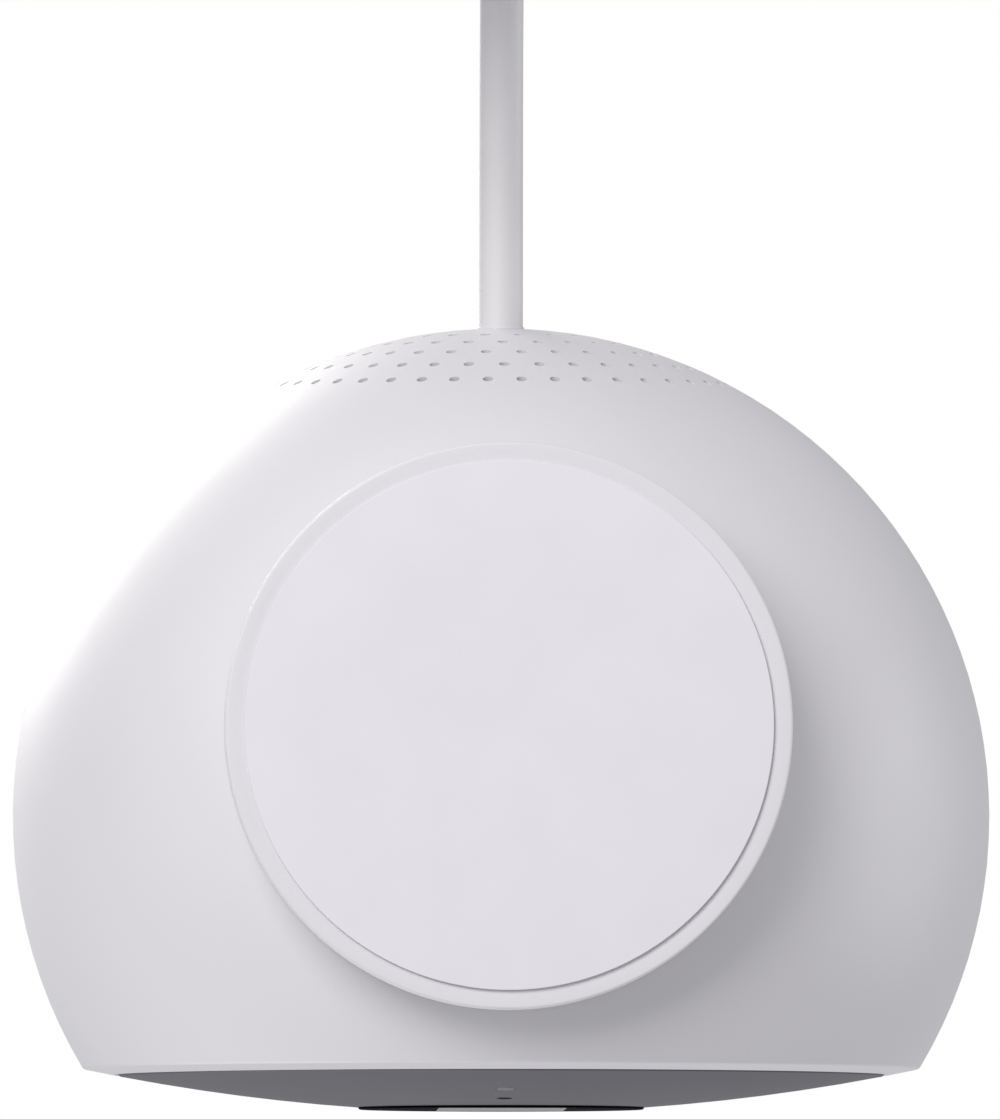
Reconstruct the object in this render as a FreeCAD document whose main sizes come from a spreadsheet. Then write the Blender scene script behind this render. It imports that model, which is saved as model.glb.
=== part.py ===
"""Ball-shaped smart display on a round foot, as an assembly of its separate pieces.

Millimetres, +Z up, the face looks along -Y. The origin is the centre of the foot pad's underside, on the table.
Pieces inside the ball are placed in the ball's own frame: x to the side, up from the ball's centre, and forward of it.
"""
import FreeCAD, Part
import math
import os
import Sketcher

doc = FreeCAD.newDocument("RoundDisplay")
sheet = doc.addObject("Spreadsheet::Sheet", "Sizes")
sheet.Label = "Sizes"


class Size:
    """A number together with the sheet expression that gives it, so that sums of sizes stay bound to the sheet."""

    def __init__(self, value, text=None):
        self.value = float(value)
        self.text = text if text is not None else repr(float(value))

    def __add__(self, other):
        other = as_size(other)
        return Size(self.value + other.value, f"({self.text} + {other.text})")

    def __sub__(self, other):
        other = as_size(other)
        return Size(self.value - other.value, f"({self.text} - {other.text})")

    def __mul__(self, other):
        other = as_size(other)
        return Size(self.value * other.value, f"({self.text} * {other.text})")

    def __truediv__(self, other):
        other = as_size(other)
        return Size(self.value / other.value, f"({self.text} / {other.text})")

    def __radd__(self, other):
        return as_size(other) + self

    def __rsub__(self, other):
        return as_size(other) - self

    def __rmul__(self, other):
        return as_size(other) * self

    def __neg__(self):
        return as_size(0) - self


def as_size(number):
    return number if isinstance(number, Size) else Size(number)


def root(size):
    return Size(math.sqrt(size.value), f"sqrt({size.text})")


def square(size):
    return size * size


def size(alias, value):
    """Adds a row to the sheet: the size's name, its plain number and its alias."""
    size.row = getattr(size, "row", 0) + 1
    sheet.set(f"A{size.row}", alias)
    sheet.set(f"B{size.row}", str(value))
    sheet.setAlias(f"B{size.row}", alias)
    return Size(value, f"Sizes.{alias}")


# The ball and its face
ball_radius = size("BallRadius", 52.0)
shell_wall = size("ShellWall", 2.2)
ball_height = size("BallHeight", 54.0)
dome_radius = size("DomeRadius", 217.0)
dome_apex = size("DomeApex", 31.5)
rim_rounding = size("RimRounding", 0.6)
edge_rounding = size("EdgeRounding", 0.3)
lip_width = size("LipWidth", 3.5)
ledge_width = size("LedgeWidth", 3.0)
ledge_thickness = size("LedgeThickness", 2.2)
fascia_seat = size("FasciaSeat", 24.9)
fascia_wall = size("FasciaWall", 2.2)
fascia_gap = size("FasciaGap", 0.25)
window_radius = size("WindowRadius", 15.2)
window_gap = size("WindowGap", 0.2)
window_front = size("WindowFront", 31.2)
glass_thickness = size("GlassThickness", 1.1)
window_ledge = size("WindowLedge", 1.4)
mic_drop = size("MicrophoneDrop", 22.3)
mic_hole_radius = size("MicrophoneHoleRadius", 0.85)
light_drop = size("LightDrop", 29.7)
light_radius = size("LightRadius", 1.0)
piece_gap = size("PieceGap", 0.1)
bore_gap = size("BoreGap", 0.3)

# The foot
foot_setback = size("FootSetback", 8.45)
foot_radius = size("FootRadius", 29.9)
foot_wall = size("FootWall", 3.0)
foot_edge_height = size("FootEdgeHeight", 0.5)
foot_top_height = size("FootTopHeight", 26.0)
pad_radius = size("PadRadius", 27.9)
pad_thickness = size("PadThickness", 1.8)
pad_groove = size("PadGroove", 0.05)
base_thickness = size("BaseThickness", 1.8)
ball_flat_height = size("BallFlatHeight", 5.5)
base_boss_radius = size("BaseBossRadius", 17.0)
ballast_radius = size("BallastRadius", 16.5)
ballast_thickness = size("BallastThickness", 6.0)
foot_screw_circle = size("FootScrewCircle", 12.0)

# The grille and the cord's exit
grille_outer_angle = size("GrilleOuterAngle", 28.1)
grille_pitch_angle = size("GrillePitchAngle", 4.28)
grille_counts = (43, 35, 29, 23, 17)
grille_hole_radius = size("GrilleHoleRadius", 0.55)
cord_radius = size("CordRadius", 2.32)
collar_radius = size("CollarRadius", 2.45)
collar_proud = size("CollarProud", 0.15)
grommet_flange_radius = size("GrommetFlangeRadius", 5.2)
grommet_flange = size("GrommetFlange", 1.8)
grommet_tail_radius = size("GrommetTailRadius", 3.2)
grommet_tail_end = size("GrommetTailEnd", 44.5)

# Buttons on the top
button_radius = size("ButtonRadius", 4.6)
button_spacing = size("ButtonSpacing", 13.0)
button_forward = size("ButtonForward", 8.0)
button_proud = size("ButtonProud", 0.2)
button_base = size("ButtonBase", 43.4)
button_flange = size("ButtonFlange", 1.2)
button_flange_width = size("ButtonFlangeWidth", 1.2)
button_travel = size("ButtonTravel", 0.6)
switch_width = size("SwitchWidth", 6.0)
switch_height = size("SwitchHeight", 2.5)
board_thickness = size("BoardThickness", 1.6)
button_board_half = size("ButtonBoardHalf", 24.4)
button_boss_spread = size("ButtonBossSpread", 21.5)
button_boss_radius = size("ButtonBossRadius", 2.4)

# The core behind the face
core_radius = size("CoreRadius", 36.4)
core_inner_radius = size("CoreInnerRadius", 20.0)
core_back = size("CoreBack", 21.0)
core_thickness = size("CoreThickness", 2.0)
core_boss_circle = size("CoreBossCircle", 33.0)
core_boss_radius = size("CoreBossRadius", 2.8)
module_radius = size("ModuleRadius", 13.5)
module_thickness = size("ModuleThickness", 2.2)
bracket_radius = size("BracketRadius", 18.8)
bracket_thickness = size("BracketThickness", 1.6)
bracket_boss_circle = size("BracketBossCircle", 16.8)
bracket_boss_radius = size("BracketBossRadius", 1.9)
main_board_radius = size("MainBoardRadius", 27.0)
main_board_back = size("MainBoardBack", 12.0)
board_post_circle = size("BoardPostCircle", 23.0)
board_post_radius = size("BoardPostRadius", 2.6)
sink_half = size("SinkHalf", 15.0)
sink_fin_depth = size("SinkFinDepth", 3.4)

# The speaker and its box
enclosure_radius = size("EnclosureRadius", 27.0)
enclosure_wall = size("EnclosureWall", 1.8)
enclosure_rear = size("EnclosureRear", 34.0)
enclosure_front = size("EnclosureFront", 2.0)
enclosure_post_circle = size("EnclosurePostCircle", 31.0)
enclosure_post_radius = size("EnclosurePostRadius", 3.2)
enclosure_ear_radius = size("EnclosureEarRadius", 5.2)
baffle_opening = size("BaffleOpening", 20.5)
speaker_flange_radius = size("SpeakerFlangeRadius", 24.0)
speaker_screw_circle = size("SpeakerScrewCircle", 22.3)
speaker_cone_radius = size("SpeakerConeRadius", 17.0)
magnet_radius = size("MagnetRadius", 12.0)
magnet_thickness = size("MagnetThickness", 9.0)
basket_depth = size("BasketDepth", 8.1)
gasket_inner = size("GasketInner", 24.6)
lead_radius = size("LeadRadius", 1.3)
lead_plane = size("LeadPlane", 38.0)
lead_reach = size("LeadReach", 30.3)

# The cord's coil and adapter, lying on the table behind
coil_x = size("CoilX", 27.0)
coil_y = size("CoilY", 122.0)
coil_inner = size("CoilInner", 15.5)
coil_outer = size("CoilOuter", 30.0)
coil_thickness = size("CoilThickness", 18.0)
tie_thickness = size("TieThickness", 0.8)
tie_width = size("TieWidth", 10.0)
adapter_length = size("AdapterLength", 40.0)
adapter_width = size("AdapterWidth", 34.0)
adapter_height = size("AdapterHeight", 26.0)
blade_length = size("BladeLength", 17.5)
blade_width = size("BladeWidth", 6.3)
blade_thickness = size("BladeThickness", 1.5)
blade_spacing = size("BladeSpacing", 12.7)
doc.recompute()

inner_radius = ball_radius - shell_wall
dome_centre = dome_apex - dome_radius
rim_depth = (square(dome_centre) - square(dome_radius) + square(ball_radius)) / (2 * dome_centre)
rim_radius = root(square(ball_radius) - square(rim_depth))
# The rim's rounding touches the ball and the dome from inside, so its centre is nearer to both of theirs.
ball_less = ball_radius - rim_rounding
dome_less = dome_radius - rim_rounding
rounding_depth = (square(dome_centre) - square(dome_less) + square(ball_less)) / (2 * dome_centre)
rounding_radius = root(square(ball_less) - square(rounding_depth))
ball_stretch = ball_radius / ball_less
dome_stretch = dome_radius / dome_less
opening_radius = rim_radius - lip_width
fascia_radius = opening_radius - fascia_gap
grommet_hole_radius = collar_radius + 0.15
module_back = window_front - glass_thickness - module_thickness
core_front = core_back + core_thickness
main_board_front = main_board_back + board_thickness
board_top = button_base - 0.7 - switch_height
board_bottom = board_top - board_thickness
sensor_back = core_front + 1.4
sensor_front = sensor_back + 1.0
base_top = pad_thickness + base_thickness
FORWARD = FreeCAD.Rotation(FreeCAD.Vector(1, 0, 0), 90)
UPRIGHT = FreeCAD.Rotation()
DIAGONALS = (45, 135, 225, 315)
BOSS_ANGLES = (30, 150, 210, 330)

finished = []


def dome_depth(radius, inset=0):
    """How far forward of the ball's centre the dome, or a surface inset from it, is at this radius."""
    return dome_centre + root(square(dome_radius - inset) - square(as_size(radius)))


def ball_depth(radius, sphere):
    """Half the length of the chord through a sphere at this radius."""
    return root(square(as_size(sphere)) - square(as_size(radius)))


def bind(thing, name, length):
    """Binds one property to the sheet, or sets it where it is a plain number."""
    thing.setExpression(name, as_size(length).text)


def place(thing, rotation, x, y, z):
    thing.Placement = FreeCAD.Placement(FreeCAD.Vector(0, 0, 0), rotation)
    bind(thing, "Placement.Base.x", x)
    bind(thing, "Placement.Base.y", y)
    bind(thing, "Placement.Base.z", z)
    return thing


def in_ball(thing, x=0, up=0, forward=0, rotation=FORWARD):
    """Places a piece in the ball's frame; with FORWARD its own Z axis points out of the face."""
    return place(thing, rotation, x, -foot_setback - forward, ball_height + up)


def finish(label, thing):
    """Gives a piece its name and keeps it for the end."""
    thing.Label = label
    finished.append(thing)
    return thing


def numbered(word):
    """A fresh internal name for a step of the work."""
    numbered.count = getattr(numbered, "count", 0) + 1
    return f"{word}_{numbered.count}"


def cylinder(radius, height):
    made = doc.addObject("Part::Cylinder", numbered("round"))
    bind(made, "Radius", radius)
    bind(made, "Height", height)
    return made


def block(length, width, height):
    made = doc.addObject("Part::Box", numbered("block"))
    bind(made, "Length", length)
    bind(made, "Width", width)
    bind(made, "Height", height)
    return made


def ball(radius):
    made = doc.addObject("Part::Sphere", numbered("ball"))
    bind(made, "Radius", radius)
    return made


def fused(*pieces):
    made = doc.addObject("Part::MultiFuse", numbered("joined"))
    made.Shapes = list(pieces)
    return made


def cut(base, *tools):
    made = doc.addObject("Part::Cut", numbered("cut"))
    made.Base = base
    made.Tool = tools[0] if len(tools) == 1 else fused(*tools)
    return made


def common(first, second):
    made = doc.addObject("Part::Common", numbered("common"))
    made.Base = first
    made.Tool = second
    return made


def group(*pieces):
    made = doc.addObject("Part::Compound", numbered("group"))
    made.Links = list(pieces)
    return made


def ball_cylinder(radius, back, front, x=0, up=0):
    """A cylinder along the ball's forward axis, from back to front."""
    return in_ball(cylinder(radius, as_size(front) - back), x, up, back)


def upright_cylinder(radius, x, forward, low, high):
    """A vertical cylinder in the ball's frame."""
    return in_ball(cylinder(radius, as_size(high) - low), x, low, forward, UPRIGHT)


def ball_block(x, up, back, width, height, depth):
    """A block in the ball's frame from its lowest corner: its width, height and depth forward."""
    return in_ball(block(width, height, depth), x, up, back)


def round_the_circle(radius, angles):
    """The x and up of each place on a circle about the forward axis."""
    return [(radius * math.cos(math.radians(a)), radius * math.sin(math.radians(a))) for a in angles]


def plane_of(body, role):
    return [f for f in body.Origin.OriginFeatures if f.Role == role][0]


def sketch_on(body, role):
    sketch = body.newObject("Sketcher::SketchObject", numbered("profile"))
    sketch.AttachmentSupport = [(plane_of(body, role), "")]
    sketch.MapMode = "FlatFace"
    return sketch


def arc_between(start, end, radius):
    """The short arc from start to end, with its centre on the left where the radius is positive.

    The centre is the chord's middle moved square to it by the root of radius squared less half the chord squared.
    """
    chord = end - start
    middle = (start + end) / 2
    across = FreeCAD.Vector(-chord.y, chord.x, 0).normalize()
    rise = math.sqrt(max(radius * radius - chord.Length * chord.Length / 4, 0))
    centre = middle + across * (rise if radius > 0 else -rise)
    first, last = (start, end) if radius > 0 else (end, start)
    begin = math.atan2(first.y - centre.y, first.x - centre.x)
    finish_at = math.atan2(last.y - centre.y, last.x - centre.x)
    circle = Part.Circle(centre, FreeCAD.Vector(0, 0, 1), abs(radius))
    return Part.ArcOfCircle(circle, begin, finish_at if finish_at > begin else finish_at + 2 * math.pi)


def outline(sketch, corners):
    """Draws a closed outline through corners (x, y) or (x, y, radius of the arc that leaves it), all bound."""
    points = [FreeCAD.Vector(as_size(c[0]).value, as_size(c[1]).value, 0) for c in corners]
    starts = []
    for i, corner in enumerate(corners):
        start, end = points[i], points[(i + 1) % len(points)]
        bent = len(corner) == 3
        edge = arc_between(start, end, corner[2].value) if bent else Part.LineSegment(start, end)
        index = sketch.addGeometry(edge, False)
        starts.append((index, 2, 1) if bent and corner[2].value < 0 else (index, 1, 2))
    for i, (index, start, end) in enumerate(starts):
        after = starts[(i + 1) % len(starts)]
        sketch.addConstraint(Sketcher.Constraint("Coincident", index, end, after[0], after[1]))
    for i, (index, start, end) in enumerate(starts):
        for kind, along, axis in (("DistanceX", 0, -2), ("DistanceY", 1, -1)):
            length = as_size(corners[i][along])
            if length.value == 0:
                sketch.addConstraint(Sketcher.Constraint("PointOnObject", index, start, axis))
            else:
                number = sketch.addConstraint(Sketcher.Constraint(kind, -1, 1, index, start, length.value))
                sketch.setExpression(f"Constraints[{number}]", length.text)
        if len(corners[i]) == 3:
            radius = corners[i][2]
            radius = radius if radius.value > 0 else -radius
            number = sketch.addConstraint(Sketcher.Constraint("Radius", index, radius.value))
            sketch.setExpression(f"Constraints[{number}]", radius.text)


def turned(corners):
    """A body turned about its own Z axis, from corners given as (radius, along)."""
    body = doc.addObject("PartDesign::Body", numbered("turned"))
    sketch = sketch_on(body, "XZ_Plane")
    outline(sketch, corners)
    revolution = body.newObject("PartDesign::Revolution", numbered("revolution"))
    revolution.Profile = sketch
    revolution.ReferenceAxis = (sketch, ["V_Axis"])
    revolution.Angle = 360
    return body


def screws(label, places, back, head_radius, head, shank_radius, shank):
    """Like screws in the ball's frame: each a head from back, and a shank forward of it."""
    made = []
    for x, up in places:
        top = ball_cylinder(head_radius, back, as_size(back) + head, x, up)
        stem = ball_cylinder(shank_radius, as_size(back) + head, as_size(back) + head + shank, x, up)
        made.append(fused(top, stem))
    return finish(label, group(*made))


def drill_forward(places, radius, back, front):
    return [ball_cylinder(radius, back, front, x, up) for x, up in places]


def grille_holes():
    """The rings of holes about the back pole, each hole square to the shell."""
    holes = []
    radius = grille_hole_radius.value
    for ring, count in enumerate(grille_counts):
        polar = math.radians(grille_outer_angle.value - ring * grille_pitch_angle.value)
        for k in range(count):
            turn = math.radians(360.0 * (k + (0.5 if ring % 2 == 0 else 0.0)) / count - 90)
            out = FreeCAD.Vector(
                math.sin(polar) * math.cos(turn), math.cos(polar), math.sin(polar) * math.sin(turn)
            )
            holes.append(Part.makeCylinder(radius, 3 * shell_wall.value, out * (inner_radius.value - 2), out))
    made = doc.addObject("Part::Feature", "grille_holes")
    made.Shape = Part.makeCompound(holes)
    made.Placement = FreeCAD.Placement(
        FreeCAD.Vector(0, -foot_setback.value, ball_height.value), FreeCAD.Rotation()
    )
    return made


def make_ball_shell():
    outer = in_ball(turned([
        (0, -ball_radius, ball_radius),
        (rounding_radius * ball_stretch, rounding_depth * ball_stretch, rim_rounding),
        (rounding_radius * dome_stretch, dome_centre + (rounding_depth - dome_centre) * dome_stretch, dome_radius),
        (0, dome_apex),
    ]))
    ledge_back = fascia_seat - ledge_thickness
    ledge_inner = opening_radius - ledge_width
    cavity = in_ball(turned([
        (0, -inner_radius, inner_radius),
        (ball_depth(ledge_back, inner_radius), ledge_back),
        (ledge_inner, ledge_back),
        (ledge_inner, fascia_seat),
        (opening_radius, fascia_seat),
        (opening_radius, dome_depth(opening_radius) - edge_rounding, -edge_rounding),
        (opening_radius + edge_rounding, dome_depth(opening_radius + edge_rounding)),
        (opening_radius + edge_rounding, ball_radius),
        (0, ball_radius),
    ]))
    wide = 2 * ball_radius
    flat = ball_flat_height - ball_height
    under = in_ball(block(wide, wide, ball_radius), -ball_radius, flat - ball_radius, ball_radius, UPRIGHT)
    floor = in_ball(
        block(wide, wide, ball_radius), -ball_radius, flat + shell_wall - ball_radius, ball_radius, UPRIGHT
    )
    bosses = [
        upright_cylinder(button_boss_radius, x, button_forward, board_top, ball_radius)
        for x in (-button_boss_spread, button_boss_spread)
    ]
    shell = cut(cut(outer, under), cut(cavity, floor, *bosses))
    holes = [ball_cylinder(grommet_hole_radius, -ball_radius - 2, -ball_radius + 2 * shell_wall)]
    for x in (-button_spacing, as_size(0), button_spacing):
        holes.append(
            upright_cylinder(button_radius + bore_gap, x, button_forward, button_base - 1, ball_radius + 1)
        )
    for x in (-button_boss_spread, button_boss_spread):
        holes.append(upright_cylinder(0.85, x, button_forward, board_top - 1, board_top + 3))
    for x, forward in round_the_circle(foot_screw_circle, (90, 210, 330)):
        holes.append(upright_cylinder(1.6, x, forward, flat - 1, flat + shell_wall + 1))
    return finish("ball_shell", cut(cut(shell, fused(*holes)), grille_holes()))


def make_front_fascia():
    hole = window_radius + window_gap
    ledge = hole - window_ledge
    seat = window_front - glass_thickness
    foot_inner = fascia_radius - 2.4
    blank = in_ball(turned([
        (ledge, seat),
        (ledge, dome_depth(ledge, fascia_wall), -(dome_radius - fascia_wall)),
        (foot_inner, dome_depth(foot_inner, fascia_wall)),
        (foot_inner, fascia_seat),
        (fascia_radius, fascia_seat),
        (fascia_radius, dome_depth(fascia_radius) - edge_rounding, edge_rounding),
        (fascia_radius - edge_rounding, dome_depth(fascia_radius - edge_rounding), dome_radius),
        (hole, dome_depth(hole)),
        (hole, seat),
    ]))
    places = round_the_circle(core_boss_circle, BOSS_ANGLES)
    small = round_the_circle(bracket_boss_circle, DIAGONALS)
    core_boss_top = dome_depth(core_boss_circle) - fascia_wall / 2
    bracket_boss_top = dome_depth(bracket_boss_circle) - fascia_wall / 2
    bosses = [ball_cylinder(core_boss_radius, core_front, core_boss_top, x, up) for x, up in places]
    bosses += [ball_cylinder(bracket_boss_radius, module_back, bracket_boss_top, x, up) for x, up in small]
    holes = drill_forward(places, 1.1, core_front - 1, core_front + 2.6)
    holes += drill_forward(small, 0.65, module_back - 1, module_back + 1.0)
    holes.append(ball_cylinder(mic_hole_radius, core_front, dome_apex, 0, -mic_drop))
    holes.append(ball_cylinder(light_radius + piece_gap / 2, core_front, dome_apex, 0, -light_drop))
    finish("front_fascia", cut(fused(blank, *bosses), *holes))


def make_face_pieces():
    seat = window_front - glass_thickness
    finish("window_glass", ball_cylinder(window_radius, seat, window_front))
    finish("display_module", ball_cylinder(module_radius, module_back, seat))
    bracket_back = module_back - bracket_thickness
    places = round_the_circle(bracket_boss_circle, DIAGONALS)
    slot = ball_block(-5.5, -6.5, bracket_back - 1, 11.0, 1.0, bracket_thickness + 2)
    bracket = cut(
        ball_cylinder(bracket_radius, bracket_back, module_back),
        slot,
        *drill_forward(places, 0.75, bracket_back - 1, module_back + 1),
    )
    finish("display_bracket", bracket)
    screws("display_screws", places, bracket_back - 1.1, 1.5, 1.1, 0.65, bracket_thickness + 0.9)
    connector_front = main_board_front + 1.2
    finish("display_connector", ball_block(-6.0, -7.5, main_board_front, 12.0, 3.0, 1.2))
    finish("display_flex", ball_block(-5.0, -6.125, connector_front, 10.0, 0.25, module_back - connector_front))
    gasket_top = dome_depth(mic_drop + 2.0, fascia_wall) - piece_gap
    gasket = cut(
        ball_cylinder(2.0, sensor_front + 1.2, gasket_top, 0, -mic_drop),
        ball_cylinder(mic_hole_radius, sensor_front, gasket_top + 1, 0, -mic_drop),
    )
    finish("mic_gasket", gasket)
    finish("front_microphone", ball_block(-2.0, -mic_drop - 1.5, sensor_front, 4.0, 3.0, 1.2))
    finish("status_led", ball_block(-1.0, -light_drop - 0.8, sensor_front, 2.0, 1.6, 0.8))
    finish("front_sensor_board", ball_block(-6.0, -light_drop - 3.5, sensor_back, 12.0, 13.5, 1.0))
    pipe_foot = sensor_front + 0.9
    pipe = fused(
        ball_cylinder(light_radius, pipe_foot, dome_depth(light_drop + light_radius), 0, -light_drop),
        ball_cylinder(light_radius + 0.7, pipe_foot, pipe_foot + 0.6, 0, -light_drop),
    )
    finish("status_light_pipe", pipe)


def make_core_frame():
    plate = cut(
        ball_cylinder(core_radius, core_back, core_front),
        ball_cylinder(core_inner_radius, core_back - 1, core_front + 1),
    )
    board_places = round_the_circle(board_post_circle, DIAGONALS)
    box_places = round_the_circle(enclosure_post_circle, DIAGONALS)
    screw_places = round_the_circle(core_boss_circle, BOSS_ANGLES)
    posts = [ball_cylinder(board_post_radius, main_board_front, core_back + 1, x, up) for x, up in board_places]
    posts += [ball_cylinder(enclosure_post_radius, enclosure_front, core_back + 1, x, up) for x, up in box_places]
    posts.append(ball_block(-7.0, -light_drop - 4.0, core_back, 14.0, 14.5, sensor_back - core_back))
    holes = drill_forward(screw_places, 1.3, core_back - 1, core_front + 1)
    holes += drill_forward(board_places, 1.1, main_board_front - 1, main_board_front + 5)
    holes += drill_forward(box_places, 1.3, enclosure_front - 1, enclosure_front + 8)
    finish("core_frame", cut(fused(plate, *posts), *holes))
    screws("core_screws", screw_places, core_back - 1.5, 2.2, 1.5, 1.1, core_thickness + 2.5)
    screws("main_board_screws", board_places, main_board_back - 1.5, 2.1, 1.5, 1.1, board_thickness + 4.5)
    finish("wifi_antenna", ball_block(-13.0, 26.0, core_front, 26.0, 7.0, 0.5))


def make_main_board():
    board_places = round_the_circle(board_post_circle, DIAGONALS)
    board = cut(
        ball_cylinder(main_board_radius, main_board_back, main_board_front),
        *drill_forward(board_places, 1.3, main_board_back - 1, main_board_front + 1),
    )
    finish("main_board", board)
    shield_back = main_board_back - 2.5
    finish("processor_shield", ball_block(-11.0, -11.0, shield_back, 22.0, 22.0, 2.5))
    finish("thermal_pad", ball_block(-9.0, -9.0, shield_back - 0.8, 18.0, 18.0, 0.8))
    sink_front = shield_back - 0.8
    sink_base = ball_block(-sink_half, -sink_half, sink_front - 1.8, 2 * sink_half, 2 * sink_half, 1.8)
    fin_thickness = 1.2
    fins = []
    for k in range(8):
        step = (2 * sink_half - fin_thickness) / 7.0
        fins.append(
            ball_block(
                step * k - sink_half, -sink_half, sink_fin_depth, fin_thickness, 2 * sink_half,
                sink_front - 1.0 - sink_fin_depth,
            )
        )
    finish("heat_sink", fused(sink_base, *fins))
    finish("power_connector", ball_block(lead_reach - 8.3, -3.0, main_board_front, 5.0, 6.0, 4.0))


def make_speaker():
    back = -enclosure_rear
    box = in_ball(turned([
        (baffle_opening, back),
        (enclosure_radius, back),
        (enclosure_radius, enclosure_front),
        (0, enclosure_front),
        (0, enclosure_front - 2.0),
        (enclosure_radius - enclosure_wall, enclosure_front - 2.0),
        (enclosure_radius - enclosure_wall, back + 2.0),
        (baffle_opening, back + 2.0),
    ]))
    ear_places = round_the_circle(enclosure_post_circle, DIAGONALS)
    screw_places = round_the_circle(speaker_screw_circle, DIAGONALS)
    ears = [
        ball_cylinder(enclosure_ear_radius, enclosure_front - 2.0, enclosure_front, x, up) for x, up in ear_places
    ]
    hollow = ball_cylinder(enclosure_radius - enclosure_wall, back + 3.0, enclosure_front - 2.0)
    holes = drill_forward(ear_places, 1.5, enclosure_front - 3.0, enclosure_front + 1)
    holes += drill_forward(screw_places, 1.0, back - 1, back + 3)
    finish("speaker_enclosure", cut(fused(box, *ears), hollow, *holes))
    screws("enclosure_screws", ear_places, enclosure_front - 3.8, 2.5, 1.8, 1.3, 9.0)
    flange_back = back - 1.6
    floor_front = flange_back + 1.6 + basket_depth
    frame = in_ball(turned([
        (19.0, flange_back),
        (speaker_flange_radius, flange_back),
        (speaker_flange_radius, back),
        (baffle_opening - 0.3, back),
        (baffle_opening - 0.3, back + 3.5),
        (magnet_radius + 0.8, floor_front),
        (5.0, floor_front),
        (5.0, floor_front - 1.2),
        (magnet_radius + 0.2, floor_front - 1.2),
        (19.0, back + 2.8),
    ]))
    finish("speaker_frame", cut(frame, *drill_forward(screw_places, 1.0, flange_back - 1, back + 1)))
    screws("speaker_screws", screw_places, flange_back - 0.9, 1.6, 0.9, 1.0, 4.6)
    finish("speaker_magnet", ball_cylinder(magnet_radius, floor_front, floor_front + magnet_thickness))
    coil_back = floor_front - 4.5
    coil = cut(ball_cylinder(4.7, coil_back, floor_front), ball_cylinder(4.0, coil_back - 1, floor_front + 1))
    finish("voice_coil", coil)
    edge = speaker_cone_radius
    cone = in_ball(turned([
        (0, coil_back - 1.4, Size(9.7)),
        (5.0, coil_back - 0.5),
        (edge, flange_back + 0.3),
        (edge, flange_back + 0.8),
        (5.0, coil_back, -Size(9.7)),
        (0, coil_back - 0.9),
    ]))
    finish("speaker_cone", cone)
    roll = (speaker_flange_radius - 4.4 - edge) / 2
    sag = 0.8
    surround = in_ball(turned([
        (edge, flange_back),
        (edge, flange_back - 0.15, (roll * roll + sag * sag) / (2 * sag)),
        (edge + 2 * roll, flange_back - 0.15),
        (edge + 2 * roll, flange_back),
    ]))
    finish("speaker_surround", surround)


def make_grille_pieces():
    touch = inner_radius - piece_gap
    inside = touch - 0.3
    near, far = grommet_flange_radius + 0.4, gasket_inner - 0.2
    mesh = in_ball(turned([
        (near, -ball_depth(near, touch), touch),
        (far, -ball_depth(far, touch)),
        (far, -ball_depth(far, inside), -inside),
        (near, -ball_depth(near, inside)),
    ]))
    finish("grille_mesh", mesh)
    gasket = in_ball(turned([
        (gasket_inner, -enclosure_rear),
        (gasket_inner, -ball_depth(gasket_inner, touch), touch),
        (enclosure_radius, -ball_depth(enclosure_radius, touch)),
        (enclosure_radius, -enclosure_rear),
    ]))
    notch_back = -lead_plane - lead_radius - 0.6
    notch = ball_block(
        gasket_inner - 2, -lead_radius - 0.2, notch_back, 8.0, 2 * lead_radius + 0.4, -enclosure_rear - notch_back
    )
    finish("grille_gasket", cut(gasket, notch))
    shoulder = -ball_depth(grommet_flange_radius, inner_radius) + piece_gap
    grommet = in_ball(turned([
        (0, -ball_radius - collar_proud),
        (collar_radius, -ball_radius - collar_proud),
        (collar_radius, shoulder),
        (grommet_flange_radius, shoulder),
        (grommet_flange_radius, shoulder + grommet_flange),
        (grommet_tail_radius, shoulder + grommet_flange),
        (grommet_tail_radius, -grommet_tail_end),
        (0, -grommet_tail_end),
    ]))
    finish("cord_grommet", grommet)


def make_buttons():
    top = ball_radius + button_proud
    names = ("volume_down_button", "mic_mute_button", "volume_up_button")
    sides = (-button_spacing, as_size(0), button_spacing)
    for name, x in zip(names, sides):
        cap = common(
            upright_cylinder(button_radius, x, button_forward, button_base, ball_radius + 2),
            in_ball(ball(top), rotation=UPRIGHT),
        )
        flange = upright_cylinder(
            button_radius + button_flange_width, x, button_forward, button_base, button_base + button_flange
        )
        finish(name, fused(cap, flange))
    half = switch_width / 2
    switches = [
        in_ball(block(switch_width, switch_width, switch_height), x - half, board_top, button_forward + half, UPRIGHT)
        for x in sides
    ]
    finish("tact_switches", group(*switches))
    front = main_board_front + 1.0
    board = in_ball(
        block(2 * button_board_half, front - 2.0, board_thickness), -button_board_half, board_bottom, front, UPRIGHT
    )
    holes = [
        upright_cylinder(1.0, x, button_forward, board_bottom - 1, board_top + 1)
        for x in (-button_boss_spread, button_boss_spread)
    ]
    finish("button_board", cut(board, *holes))
    fixings = []
    for x in (-button_boss_spread, button_boss_spread):
        head = upright_cylinder(1.7, x, button_forward, board_bottom - 1.3, board_bottom)
        shank = upright_cylinder(0.85, x, button_forward, board_bottom, board_top + 2.8)
        fixings.append(fused(head, shank))
    finish("button_board_screws", group(*fixings))
    finish("button_flex", ball_block(-3.0, 23.0, main_board_front, 6.0, board_bottom - 23.0, 0.25))


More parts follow.
